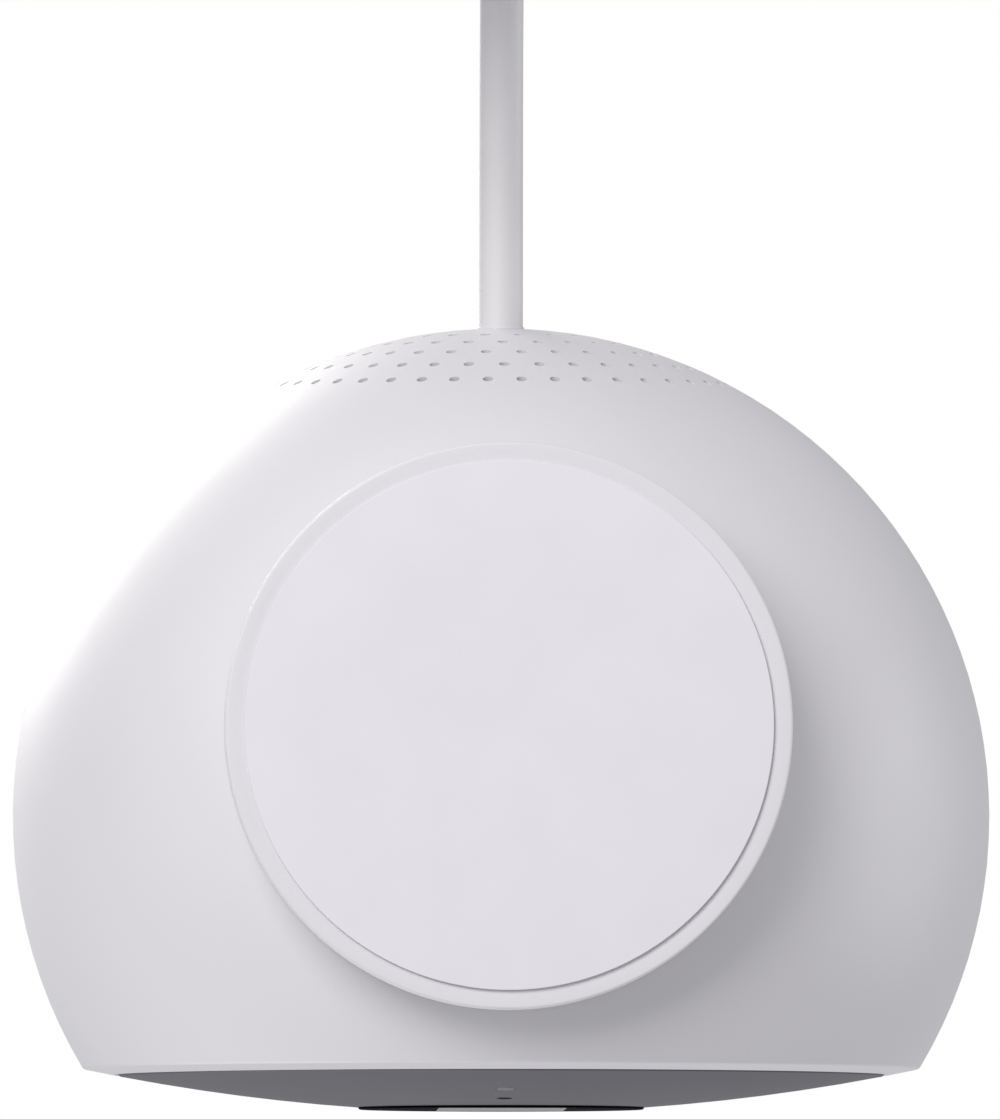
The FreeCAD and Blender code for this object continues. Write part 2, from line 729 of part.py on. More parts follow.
def make_foot():
    wall_inner = foot_radius - foot_wall
    skirt_block = place(cylinder(foot_radius, foot_top_height), UPRIGHT, 0, 0, foot_edge_height)
    seat = in_ball(ball(ball_radius + piece_gap / 2), rotation=UPRIGHT)
    recess = place(cylinder(pad_radius + pad_groove, base_top), UPRIGHT, 0, 0, 0)
    hollow = cut(
        place(cylinder(wall_inner, foot_top_height), UPRIGHT, 0, 0, base_top),
        in_ball(ball(ball_radius + shell_wall), rotation=UPRIGHT),
    )
    clearance = place(
        cylinder(base_boss_radius + 0.5, 2 * ball_flat_height), UPRIGHT, 0, -foot_setback, 0
    )
    finish("foot_skirt", cut(skirt_block, seat, recess, hollow, clearance))
    plate = place(cylinder(pad_radius, base_thickness), UPRIGHT, 0, 0, pad_thickness)
    boss = cut(
        place(
            cylinder(base_boss_radius, ball_flat_height - pad_thickness), UPRIGHT, 0, -foot_setback, pad_thickness
        ),
        cut(
            place(cylinder(foot_radius * 2, foot_radius), UPRIGHT, 0, 0, -1),
            place(cylinder(pad_radius - 0.5, foot_radius * 2), UPRIGHT, 0, 0, -2),
        ),
    )
    places = round_the_circle(foot_screw_circle, (90, 210, 330))
    holes = []
    fixings = []
    threads = []
    screw_low = pad_thickness + 0.1
    screw_top = ball_flat_height + shell_wall + ballast_thickness - 1.5
    for x, forward in places:
        y = -foot_setback - forward
        holes.append(place(cylinder(3.1, 1.9), UPRIGHT, x, y, pad_thickness - 0.1))
        holes.append(place(cylinder(1.6, 6.0), UPRIGHT, x, y, pad_thickness))
        head = place(cylinder(2.9, 1.6), UPRIGHT, x, y, screw_low)
        shank = place(cylinder(1.4, screw_top - screw_low - 1.0), UPRIGHT, x, y, screw_low + 1.0)
        fixings.append(fused(head, shank))
        threads.append(place(cylinder(1.45, ballast_thickness * 3), UPRIGHT, x, y, ball_flat_height))
    finish("foot_base", cut(fused(plate, boss), *holes))
    finish("foot_screws", group(*fixings))
    finish("foot_pad", place(cylinder(pad_radius, pad_thickness), UPRIGHT, 0, 0, 0))
    disc = place(
        cylinder(ballast_radius, ballast_thickness), UPRIGHT, 0, -foot_setback, ball_flat_height + shell_wall
    )
    finish("ballast_weight", cut(disc, *threads))


def tube(label, points, radius):
    """A round tube along straight runs joined by tangent arcs.

    Each arc's radius is 0.45 of the shorter of its two runs, divided by the tangent of half the turn. The tube's
    volume is compared with its section times its length, and its radii are printed.
    """
    edges = []
    radii = []
    here = points[0]
    for before, corner, after in zip(points, points[1:], points[2:]):
        into = corner - before
        out = after - corner
        half_turn = into.getAngle(out) / 2
        reach = 0.45 * min(into.Length, out.Length)
        radii.append(reach / math.tan(half_turn))
        into.normalize()
        out.normalize()
        start = corner - into * reach
        end = corner + out * reach
        to_centre = (out - into).normalize()
        bow = radii[-1] / math.cos(half_turn) - radii[-1]
        edges.append(Part.LineSegment(here, start).toShape())
        edges.append(Part.Arc(start, corner + to_centre * bow, end).toShape())
        here = end
    edges.append(Part.LineSegment(here, points[-1]).toShape())
    wire = Part.Wire(edges)
    section = Part.Wire([Part.Circle(points[0], points[1] - points[0], radius).toShape()])
    solid = wire.makePipeShell([section], True, False)
    expected = math.pi * radius * radius * wire.Length
    print(label, "length", round(wire.Length, 1), "radii", [round(r, 1) for r in radii],
          "volume against section times length", round(solid.Volume / expected, 4))
    if abs(solid.Volume / expected - 1) > 0.01:
        raise RuntimeError(f"{label} isn't a clean tube")
    made = doc.addObject("Part::Feature", label)
    made.Shape = solid
    return finish(label, made)


def make_cords():
    exit_y = (ball_radius + collar_proud - foot_setback).value
    exit_z = ball_height.value
    # From the grommet: straight out, down under its own weight, and onto the coil's outer turn.
    route = [
        (0.0, exit_y, exit_z),
        (0.0, 66.0, exit_z),
        (0.0, 84.0, 47.5),
        (0.0, 98.5, 35.5),
        (0.0, 108.5, 22.6),
        (0.0, 122.0, 17.2),
    ]
    tube("power_cord", [FreeCAD.Vector(*p) for p in route], cord_radius.value)
    # From the coil's lowest turn, along the table and up into the adapter's relief.
    tail_y = 97.25
    lying = cord_radius.value + 0.05
    tail = [(27.0, tail_y, lying + 0.75), (11.0, tail_y, lying), (-4.0, tail_y, 7.0)]
    tube("cord_tail", [FreeCAD.Vector(*p) for p in tail], cord_radius.value)
    ring = turned([
        (coil_inner, tie_thickness),
        (coil_outer, tie_thickness),
        (coil_outer, tie_thickness + coil_thickness),
        (coil_inner, tie_thickness + coil_thickness),
    ])
    finish("cord_coil", place(ring, UPRIGHT, coil_x, coil_y, 0))
    # The tie is a band round the coil's section on its far side.
    low = coil_inner - 1.0
    high = coil_outer + 0.1
    width = high - low
    band = place(
        block(tie_width, width + 2 * tie_thickness, coil_thickness + 2 * tie_thickness),
        UPRIGHT, coil_x - tie_width / 2, coil_y + low - tie_thickness, 0,
    )
    inside = place(
        block(tie_width + 2, width, coil_thickness), UPRIGHT, coil_x - tie_width / 2 - 1, coil_y + low, tie_thickness
    )
    finish("cord_tie", cut(band, inside))
    adapter_face = -18.0
    entry = FreeCAD.Vector(adapter_face, tail_y, 11.2)
    mouth = FreeCAD.Vector(*tail[-1])
    slope = entry - mouth
    relief = doc.addObject("Part::Cone", numbered("cone"))
    bind(relief, "Radius1", cord_radius + 0.4)
    bind(relief, "Radius2", cord_radius + 1.5)
    relief.Height = slope.Length + 1.0
    relief.Placement = FreeCAD.Placement(mouth, FreeCAD.Rotation(FreeCAD.Vector(0, 0, 1), slope))
    body = place(
        block(adapter_length, adapter_width, adapter_height),
        UPRIGHT, adapter_face - adapter_length, tail_y - adapter_width / 2, 0,
    )
    finish("adapter_relief", cut(relief, body))
    finish("adapter_body", body)
    blades = [
        place(
            block(blade_width, blade_thickness, blade_length),
            UPRIGHT, adapter_face - adapter_length + 8.0, tail_y + side * blade_spacing / 2 - blade_thickness / 2,
            adapter_height,
        )
        for side in (-1, 1)
    ]
    finish("adapter_blades", group(*blades))
    # The lead inside runs from the grommet round the speaker's box to the main board.
    centre = FreeCAD.Vector(0, -foot_setback.value, ball_height.value)
    connector = (main_board_front + 2.0).value
    side = lead_reach.value
    plane = -lead_plane.value
    inner_route = [
        (0.0, -grommet_tail_end.value),
        (0.0, plane),
        (side - 6.6, plane - 0.3),
        (side, plane + 3.2),
        (side + 0.3, connector),
        (side - 3.3, connector),
    ]
    points = [centre + FreeCAD.Vector(x, -forward, 0) for x, forward in inner_route]
    tube("power_lead", points, lead_radius.value)


def check_and_write():
    """Every step has to be sound and every piece a valid solid before anything is written."""
    doc.recompute()
    for thing in doc.Objects:
        if {"Invalid", "Error"} & set(thing.State):
            raise RuntimeError(f"{thing.Name} ({thing.Label}) failed: {thing.State}")
    os.makedirs("parts", exist_ok=True)
    for piece in finished:
        shape = piece.Shape
        if shape.isNull() or not shape.isValid() or not shape.Solids:
            raise RuntimeError(f"{piece.Label} isn't a valid solid")
    for piece in finished:
        piece.Shape.exportStep(f"parts/{piece.Label}.step")
    print(len(finished), "pieces written")


make_ball_shell()
make_front_fascia()
make_face_pieces()
make_core_frame()
make_main_board()
make_speaker()
make_grille_pieces()
make_buttons()
make_foot()
make_cords()
check_and_write()
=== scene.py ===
"""Looks of a ball-shaped smart display on a round foot, with its cord and adapter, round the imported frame.

Metres, +Z up, the face looks along -Y. Pieces are made where the frame's nodes are; no node is moved.
"""
import math

import bmesh
import bpy
import numpy as np
from mathutils import Matrix, Vector


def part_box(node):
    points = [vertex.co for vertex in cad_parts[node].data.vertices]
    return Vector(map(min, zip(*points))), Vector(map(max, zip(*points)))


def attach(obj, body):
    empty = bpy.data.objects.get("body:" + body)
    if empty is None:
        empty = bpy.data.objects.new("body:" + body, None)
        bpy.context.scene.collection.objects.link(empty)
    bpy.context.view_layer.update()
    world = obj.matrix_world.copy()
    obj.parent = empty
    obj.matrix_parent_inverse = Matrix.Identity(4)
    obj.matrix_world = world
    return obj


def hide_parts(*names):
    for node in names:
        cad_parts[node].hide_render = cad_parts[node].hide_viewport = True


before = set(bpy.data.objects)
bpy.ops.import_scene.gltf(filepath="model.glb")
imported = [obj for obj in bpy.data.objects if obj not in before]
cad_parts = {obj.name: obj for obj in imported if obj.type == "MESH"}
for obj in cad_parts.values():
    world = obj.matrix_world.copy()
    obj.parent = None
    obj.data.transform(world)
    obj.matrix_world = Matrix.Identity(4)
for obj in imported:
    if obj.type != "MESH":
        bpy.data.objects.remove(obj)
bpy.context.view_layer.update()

# ---- Studio: camera -----------------------------------------------------------------------------------
# The object is looked at from straight below with a very long lens, so its outline is all but parallel.
# The camera stands under two degrees towards the face and one towards +X; the ball's back is up in the frame.
MM = 0.001
BALL_RADIUS = 52.0 * MM
COLLAR_PROUD = 0.15 * MM
grommet_low, grommet_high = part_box("cord_grommet")
ball_centre = np.array(
    [0.0, grommet_high.y - COLLAR_PROUD - BALL_RADIUS, (grommet_low.z + grommet_high.z) / 2]
)
LENS = 1400.0
SENSOR = 36.0
FRAME_HEIGHT = 119.2 * MM
AIM_BEHIND_BALL = 27.4 * MM
AIM_ASIDE = 0.12 * MM
TOWARDS_FACE = math.radians(1.6)
TOWARDS_SIDE = math.radians(0.9)
aim = Vector(ball_centre) + Vector((AIM_ASIDE, AIM_BEHIND_BALL, 0.0))
towards_camera = Vector((math.tan(TOWARDS_SIDE), -math.tan(TOWARDS_FACE), -1.0)).normalized()
camera_data = bpy.data.cameras.new("long_lens")
camera_data.lens = LENS
camera_data.sensor_width = SENSOR
camera_data.clip_end = 100.0
camera = bpy.data.objects.new("camera", camera_data)
bpy.context.scene.collection.objects.link(camera)
camera_up = (Vector((0, 1, 0)) - Vector((0, 1, 0)).dot(towards_camera) * towards_camera).normalized()
camera_side = camera_up.cross(towards_camera)
turn = Matrix((camera_side, camera_up, towards_camera)).transposed()
distance = LENS * FRAME_HEIGHT / SENSOR
camera.matrix_world = Matrix.Translation(aim + towards_camera * distance) @ turn.to_4x4()
bpy.context.scene.camera = camera

# ---- Studio: light and floor --------------------------------------------------------------------------
# A pale table top. Looked at from below it lets the view and the light of the low panel through, as a glass
# table would; from above it is a plain diffuse floor. The room is a soft white.


def add_node(tree, kind, settings=None, links=None, **properties):
    """Adds one shader node with its properties, its plain socket values and the sockets that feed it."""
    node = tree.nodes.new(kind)
    for name, value in properties.items():
        setattr(node, name, value)
    for name, value in (settings or {}).items():
        node.inputs[name].default_value = value
    for name, source in (links or {}).items():
        tree.links.new(source, node.inputs[name])
    return node


def colour(hex_code):
    """sRGB hex to linear red, green, blue and alpha."""
    channels = [int(hex_code[i:i + 2], 16) / 255 for i in (1, 3, 5)]
    return [c / 12.92 if c <= 0.04045 else ((c + 0.055) / 1.055) ** 2.4 for c in channels] + [1.0]


scene = bpy.context.scene
scene.view_settings.view_transform = "Standard"
ROOM_LIGHT = 0.48
world = bpy.data.worlds.new("white_room")
world.use_nodes = True
scene.world = world
room = world.node_tree
room.nodes.clear()
seen = add_node(room, "ShaderNodeLightPath")
backdrop = add_node(room, "ShaderNodeBackground", {"Color": (1, 1, 1, 1), "Strength": 1.0})
glow = add_node(room, "ShaderNodeBackground", {"Color": colour("#FBFAFE"), "Strength": ROOM_LIGHT})
either = add_node(
    room, "ShaderNodeMixShader", None,
    {0: seen.outputs["Is Camera Ray"], 1: glow.outputs[0], 2: backdrop.outputs[0]},
)
add_node(room, "ShaderNodeOutputWorld", None, {"Surface": either.outputs[0]})


def soft_panel(name, direction, reach, width, level, tint):
    """A square light panel that looks back at the ball from that direction.

    Its power is level x pi squared x reach squared, which lights a white card facing it to that level.
    """
    data = bpy.data.lights.new(name, "AREA")
    data.shape = "SQUARE"
    data.size = width
    data.energy = level * (math.pi * reach) ** 2
    data.color = colour(tint)[:3]
    data.cycles.use_multiple_importance_sampling = False
    panel = bpy.data.objects.new(name, data)
    scene.collection.objects.link(panel)
    way = Vector(direction).normalized()
    panel.location = Vector(ball_centre) + way * reach
    panel.rotation_mode = "QUATERNION"
    panel.rotation_quaternion = way.to_track_quat("Z", "Y")
    panel.visible_camera = False
    return panel


soft_panel("low_key_panel", (0.37, 0.46, -0.81), 3.0, 1.5, 0.72, "#FFFDFC")
soft_panel("front_panel", (0.40, -1.00, 0.42), 2.2, 1.4, 0.46, "#FFFFFF")
soft_panel("side_panel", (-1.00, 0.00, 0.30), 2.0, 1.3, 0.28, "#FDFDFF")
soft_panel("top_panel", (0.60, 0.55, 1.30), 2.5, 1.0, 0.55, "#FFFEFC")

FLOOR_HALF = 14.0
FLOOR_DROP = 0.3 * MM
floor_mesh = bpy.data.meshes.new("pale_floor")
corners = [(x * FLOOR_HALF, y * FLOOR_HALF, -FLOOR_DROP) for x, y in ((-1, -1), (1, -1), (1, 1), (-1, 1))]
floor_mesh.from_pydata(corners, [], [(0, 1, 2, 3)])
floor = bpy.data.objects.new("pale_floor", floor_mesh)
scene.collection.objects.link(floor)
floor_paint = bpy.data.materials.new("pale_floor_paint")
floor_paint.use_nodes = True
paint = floor_paint.node_tree
paint.nodes.clear()
side_seen = add_node(paint, "ShaderNodeNewGeometry")
ray = add_node(paint, "ShaderNodeLightPath")
not_seen = add_node(
    paint, "ShaderNodeMath", {0: 1.0}, {1: ray.outputs["Is Camera Ray"]}, operation="SUBTRACT"
)
open_to = add_node(
    paint, "ShaderNodeMath", None,
    {0: side_seen.outputs["Backfacing"], 1: not_seen.outputs[0]}, operation="MAXIMUM",
)
matt = add_node(paint, "ShaderNodeBsdfDiffuse", {"Color": colour("#F0F0F1")})
clear = add_node(paint, "ShaderNodeBsdfTransparent")
one_way = add_node(
    paint, "ShaderNodeMixShader", None, {0: open_to.outputs[0], 1: matt.outputs[0], 2: clear.outputs[0]}
)
add_node(paint, "ShaderNodeOutputMaterial", None, {"Surface": one_way.outputs[0]})
floor_mesh.materials.append(floor_paint)

# ---- Power cord ---------------------------------------------------------------------------------------
# A round two-core lead in a soft white PVC jacket, 4.6 mm thick and about 1.5 m long, moulded into the
# grommet at the back and into the adapter's relief. Its spare length is wound in a bundle of four layers.
CORD_DIAMETER = 4.64 * MM


def new_finish(name, hex_code, roughness):
    """A new material with one Principled shader: the material, its tree, the shader and its coordinates."""
    made = bpy.data.materials.new(name)
    made.use_nodes = True
    tree = made.node_tree
    tree.nodes.clear()
    shader = add_node(
        tree, "ShaderNodeBsdfPrincipled", {"Base Color": colour(hex_code), "Roughness": roughness}
    )
    add_node(tree, "ShaderNodeOutputMaterial", None, {"Surface": shader.outputs[0]})
    place = add_node(tree, "ShaderNodeTexCoord")
    return made, tree, shader, place.outputs["Object"]


def grain_bump(tree, shader, at, grain, depth):
    """A fine random relief: noise with one lump per grain length, that deep in metres."""
    lumps = add_node(
        tree, "ShaderNodeTexNoise", {"Scale": 1.0 / grain, "Detail": 2.0, "Roughness": 0.55}, {"Vector": at}
    )
    bump = add_node(
        tree, "ShaderNodeBump", {"Strength": 1.0, "Distance": depth}, {"Height": lumps.outputs["Fac"]}
    )
    tree.links.new(bump.outputs[0], shader.inputs["Normal"])


def tone_variation(tree, shader, at, size, low_hex, high_hex):
    """A slow change of colour over the piece, between two near tones, with one patch per size."""
    cloud = add_node(tree, "ShaderNodeTexNoise", {"Scale": 1.0 / size, "Detail": 2.0}, {"Vector": at})
    tones = add_node(tree, "ShaderNodeValToRGB", None, {"Fac": cloud.outputs["Fac"]})
    tones.color_ramp.elements[0].position = 0.35
    tones.color_ramp.elements[1].position = 0.65
    tones.color_ramp.elements[0].color = colour(low_hex)
    tones.color_ramp.elements[1].color = colour(high_hex)
    tree.links.new(tones.outputs["Color"], shader.inputs["Base Color"])


# Extruded PVC: an even satin skin with a faint matt grain of about a quarter of a millimetre.
jacket_pvc, tree, shader, at = new_finish("soft_pvc_jacket", "#D4D3D5", 0.5)
tone_variation(tree, shader, at, 22 * MM, "#D2D1D3", "#D6D5D7")
grain_bump(tree, shader, at, 0.28 * MM, 0.012 * MM)

coil_low, coil_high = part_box("cord_coil")
coil_middle = ((coil_low + coil_high) / 2).to_2d()
cord_start = (0.0, grommet_high.y, ball_centre[2])
# From the grommet straight out, then down under its own weight.
route = [
    cord_start,
    (0.0, 66.0 * MM, ball_centre[2]),
    (0.0, 84.0 * MM, 47.5 * MM),
    (0.0, 98.5 * MM, 35.5 * MM),
    (0.0, 108.5 * MM, 22.6 * MM),
    (0.0, 119.0 * MM, 17.8 * MM),
]
# The bundle is wound clockwise from its top layer down: each layer is a spiral of two turns, in, then out,
# and a stretch of three quarters of a turn leads down to the next.
POINTS_PER_TURN = 20
OUTER_TURN = 27.0 * MM
INNER_TURN = 18.0 * MM
SPIRAL_TURNS = 2.0
STEP_TURNS = 0.75
TOTAL_TURNS = 9.75
SWAY = 0.25 * MM
SWAY_RATE = 5.3
top_layer = coil_high.z - CORD_DIAMETER / 2
# The spline runs inside its points' corners, so the points lie that much further out.
inside_corner = (3 + math.cos(2 * math.pi / POINTS_PER_TURN)) / 4
turns = np.arange(1, int(TOTAL_TURNS * POINTS_PER_TURN) + 1) / POINTS_PER_TURN
layer = np.floor(turns / (SPIRAL_TURNS + STEP_TURNS))
within = turns - layer * (SPIRAL_TURNS + STEP_TURNS)
inward = np.clip(within / SPIRAL_TURNS, 0, 1)
inward = np.where(layer % 2 == 0, inward, 1 - inward)
radius = OUTER_TURN + (INNER_TURN - OUTER_TURN) * inward
drop = layer + np.clip((within - SPIRAL_TURNS) / STEP_TURNS, 0, 1)
angle = math.pi - 2 * math.pi * turns
sway = SWAY * np.sin(turns * SWAY_RATE)
route += list(zip(
    coil_middle.x + (radius + sway) / inside_corner * np.cos(angle),
    coil_middle.y + (radius + sway) / inside_corner * np.sin(angle),
    top_layer - drop * CORD_DIAMETER,
))
TAIL_OFFSET = 24.75 * MM
tail_y = coil_middle.y - TAIL_OFFSET
route += [(11.0 * MM, tail_y, 2.3 * MM), (-4.0 * MM, tail_y, 7.0 * MM)]
curve = bpy.data.curves.new("power_cord_curve", "CURVE")
curve.dimensions = "3D"
curve.bevel_depth = CORD_DIAMETER / 2
curve.bevel_resolution = 6
curve.resolution_u = 6
curve.use_fill_caps = True
spline = curve.splines.new("NURBS")
spline.points.add(len(route) - 1)
spline.points.foreach_set("co", np.c_[np.array(route), np.ones(len(route))].ravel())
spline.order_u = 3
spline.use_endpoint_u = True
cord = bpy.data.objects.new("power_cord_jacket", curve)
scene.collection.objects.link(cord)
curve.materials.append(jacket_pvc)
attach(cord, "root")
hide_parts("power_cord", "cord_coil", "cord_tail")

# ---- Ball shell ---------------------------------------------------------------------------------------
# The one-piece white housing, moulded in a blend of polycarbonate and ABS. Its tool was spark-eroded, which
# gives the plastic a very fine, even matt grain. It keeps its frame shape: holes, rim and flat seat.


def dress(finish, *nodes):
    """Gives frame nodes their finish."""
    for node in nodes:
        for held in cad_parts[node].material_slots:
            held.material = finish


def roughness_variation(tree, shader, at, size, low, high):
    """A slow change of gloss over the piece between two roughnesses, with one patch per size."""
    cloud = add_node(tree, "ShaderNodeTexNoise", {"Scale": 1.0 / size, "Detail": 3.0}, {"Vector": at})
    gloss = add_node(
        tree, "ShaderNodeMapRange", {"From Min": 0.3, "From Max": 0.7, "To Min": low, "To Max": high},
        {"Value": cloud.outputs["Fac"]},
    )
    tree.links.new(gloss.outputs["Result"], shader.inputs["Roughness"])


# Spark-eroded grain is about 0.05 mm; it is drawn at 0.3 mm, the finest that still shows.
white_plastic, tree, shader, at = new_finish("eroded_white_plastic", "#DAD9DC", 0.46)
shader.inputs["IOR"].default_value = 1.54
tone_variation(tree, shader, at, 35 * MM, "#D9D8DB", "#DBDADD")
grain_bump(tree, shader, at, 0.3 * MM, 0.006 * MM)
roughness_variation(tree, shader, at, 14 * MM, 0.43, 0.50)
dress(white_plastic, "ball_shell")

# ---- Front fascia -------------------------------------------------------------------------------------
# The grey face inside the rim, a shallow dome moulded in satin tinted polycarbonate, with a small microphone
# hole and a light pipe below the window. The pipe is milky so that its lamp glows evenly.
grey_satin, tree, shader, at = new_finish("satin_grey_polycarbonate", "#56555C", 0.45)
shader.inputs["Specular IOR Level"].default_value = 0.24
tone_variation(tree, shader, at, 28 * MM, "#54535A", "#58575E")
grain_bump(tree, shader, at, 0.3 * MM, 0.005 * MM)
dress(grey_satin, "front_fascia")
milky, tree, shader, at = new_finish("milky_polycarbonate", "#616167", 0.35)
shader.inputs["Subsurface Weight"].default_value = 0.3
shader.inputs["Subsurface Radius"].default_value = (0.5 * MM, 0.5 * MM, 0.5 * MM)
shader.inputs["Subsurface Scale"].default_value = 1.0
tone_variation(tree, shader, at, 0.8 * MM, "#5E5E64", "#65656B")

# ---- Window -------------------------------------------------------------------------------------------
# A round cover glass in front of the display, ground at its edge and printed matt black round the upright
# live area, which is left bare. It stands a little proud of the face where it meets it.
GLASS_CHAMFER = 0.15 * MM
LIVE_HALF_WIDTH = 6.8 * MM
LIVE_HALF_HEIGHT = 11.6 * MM
LIVE_CORNER = 0.8 * MM


def soft_corners(corners, cuts, steps=4):
    """Rounds an outline along its first axis.

    Each corner becomes the quadratic curve (1-t)^2 a + 2t(1-t) corner + t^2 b, where a and b lie one cut away
    from it along its two runs. A cut of nothing leaves the corner as it is.
    """
    corners = np.asarray(corners, float)
    cuts = np.broadcast_to(np.asarray(cuts, float), len(corners)).reshape((-1,) + (1,) * (corners.ndim - 1))
    before = np.roll(corners, 1, 0) - corners
    after = np.roll(corners, -1, 0) - corners
    a = corners + before * cuts / np.linalg.norm(before, axis=-1, keepdims=True)
    b = corners + after * cuts / np.linalg.norm(after, axis=-1, keepdims=True)
    t = np.linspace(0, 1, steps + 1).reshape((1, -1) + (1,) * (corners.ndim - 1))
    curve_points = (1 - t) ** 2 * a[:, None] + 2 * t * (1 - t) * corners[:, None] + t ** 2 * b[:, None]
    kept = (np.arange(steps + 1) == 0) | (cuts.reshape(-1, 1) > 0)
    return curve_points[kept]


def surface(name, points, close_rows=False):
    """A mesh of four-sided faces over a grid of points (rows, columns, xyz); columns always join up.

    Rows join up too where close_rows is set; else the first and last rows are poles. Equal points become one,
    faces are turned outwards, and edges sharper than 40 degrees stay sharp.
    """
    rows, columns = points.shape[:2]
    index = np.arange(rows * columns).reshape(rows, columns)
    index = np.hstack([index, index[:, :1]])
    if close_rows:
        index = np.vstack([index, index[:1]])
    faces = np.stack([index[:-1, :-1], index[:-1, 1:], index[1:, 1:], index[1:, :-1]], -1).reshape(-1, 4)
    mesh = bpy.data.meshes.new(name)
    mesh.from_pydata(points.reshape(-1, 3).tolist(), [], faces.tolist())
    work = bmesh.new()
    work.from_mesh(mesh)
    bmesh.ops.remove_doubles(work, verts=work.verts, dist=1e-7)
    bmesh.ops.recalc_face_normals(work, faces=work.faces)
    work.to_mesh(mesh)
    work.free()
    mesh.shade_smooth()
    mesh.set_sharp_from_angle(angle=math.radians(40))
    return mesh


def joined(name, meshes):
    """One mesh out of several."""
    work = bmesh.new()
    for part in meshes:
        work.from_mesh(part)
        bpy.data.meshes.remove(part)
    mesh = bpy.data.meshes.new(name)
    work.to_mesh(mesh)
    work.free()
    mesh.shade_smooth()
    mesh.set_sharp_from_angle(angle=math.radians(40))
    return mesh


def in_scene(name, mesh, finish):
    """The finished piece at the origin, with its place in its mesh."""
    piece = bpy.data.objects.new(name, mesh)
    scene.collection.objects.link(piece)
    mesh.materials.append(finish)
    return piece


def turned(name, outline, centre, axis, columns=128):
    """An outline of (radius, along) turned about an axis.

    A point goes to centre + along x axis + radius x (cos a x side + sin a x other), and a goes all round.
    """
    axis = np.asarray(axis, float) / np.linalg.norm(axis)
    side = np.cross(axis, (0.0, 0.0, 1.0) if abs(axis[2]) < 0.9 else (1.0, 0.0, 0.0))
    side /= np.linalg.norm(side)
    other = np.cross(axis, side)
    a = np.linspace(0, 2 * math.pi, columns, endpoint=False)
    ring = np.cos(a)[:, None] * side + np.sin(a)[:, None] * other
    outline = np.asarray(outline)
    return surface(
        name, np.asarray(centre) + outline[:, None, 1:] * axis + outline[:, None, :1] * ring,
        close_rows=bool(outline[:, 0].min() > 1e-9),
    )


def between_poles(corners, cuts, steps=4):
    """A softened outline that starts and ends on the axis, whose two ends stay sharp."""
    cuts = np.broadcast_to(np.asarray(cuts, float), len(corners)).copy()
    cuts[[0, -1]] = 0
    return soft_corners(corners, cuts, steps)


FORWARD = np.array([0.0, -1.0, 0.0])
glass_low, glass_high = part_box("window_glass")
glass_radius = (glass_high.x - glass_low.x) / 2
glass_depth = glass_high.y - glass_low.y


def rounded_plan(half_length, half_width, corner, per_corner=8):
    """The outline of a rounded rectangle: for each quarter, its corner's centre plus corner x (cos, sin)."""
    quarter = np.linspace(0, math.pi / 2, per_corner)
    t = (np.arange(4)[:, None] * math.pi / 2 + quarter).ravel()
    sx = np.repeat([1, -1, -1, 1], per_corner)
    sy = np.repeat([1, 1, -1, -1], per_corner)
    return np.stack([
        sx * (half_length - corner) + corner * np.cos(t), sy * (half_width - corner) + corner * np.sin(t)
    ], -1)


def evenly(outline, count):
    """A closed outline with its points the same way apart: each coordinate is read off along its length."""
    around = np.vstack([outline, outline[:1]])
    run = np.r_[0, np.cumsum(np.linalg.norm(np.diff(around, axis=0), axis=1))]
    stops = np.linspace(0, run[-1], count, endpoint=False)
    return np.stack([np.interp(stops, run, around[:, k]) for k in (0, 1)], -1)


def plate_ring(name, outer, inner, thickness, place, cut):
    """A flat plate between two outlines in the x-z plane, with softened edges.

    Its rows go out along the front and back along the rear: inner, outer, outer, inner. Place is where the
    plate's middle goes.
    """
    outline = np.stack([inner, outer, outer, inner])
    depth = np.broadcast_to(np.array([-1, -1, 1, 1])[:, None, None] * thickness / 2, outline.shape[:2] + (1,))
    points = np.concatenate([outline[..., :1], depth, outline[..., 1:]], -1)
    return surface(name, soft_corners(points, cut, 2) + place, close_rows=True)


# The light pipe's end follows the dome: its depth is the dome's centre plus the root of radius squared less
# the squares of the two distances across.
DOME_RADIUS = 217.0 * MM
FASCIA_HOLE = 15.4 * MM
PIPE_RADIUS = 1.0 * MM
PIPE_PROUD = 0.02 * MM
PIPE_FLANGE = 0.6 * MM
pipe_low, pipe_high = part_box("status_light_pipe")
fascia_front = ball_centre[1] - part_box("front_fascia")[0].y
dome_centre = fascia_front - math.sqrt(DOME_RADIUS ** 2 - FASCIA_HOLE ** 2)
a = np.linspace(0, 2 * math.pi, 64, endpoint=False)
reach = np.array([0, 0.5, 1, 1, 1.7, 1.7, 0])[:, None] * PIPE_RADIUS
x = reach * np.cos(a)
z = reach * np.sin(a) + (pipe_low.z + pipe_high.z) / 2
y = ball_centre[1] - dome_centre - np.sqrt(DOME_RADIUS ** 2 - x ** 2 - (z - ball_centre[2]) ** 2) - PIPE_PROUD
y[3:5] = pipe_high.y - PIPE_FLANGE
y[5:] = pipe_high.y
points = soft_corners(np.stack([x, y, z], -1), (0, 0, 0.06 * MM, 0, 0.1 * MM, 0.1 * MM, 0), 3)
light_pipe = in_scene("lamp_light_pipe", surface("lamp_light_pipe", points), milky)
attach(light_pipe, "root")
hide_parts("status_light_pipe")

glass_place = np.array([0.0, (glass_low.y + glass_high.y) / 2, ball_centre[2]])
live_edge = evenly(rounded_plan(LIVE_HALF_WIDTH, LIVE_HALF_HEIGHT, LIVE_CORNER), 288)
way = np.arctan2(live_edge[:, 1], live_edge[:, 0])
rim = glass_radius * np.stack([np.cos(way), np.sin(way)], -1)
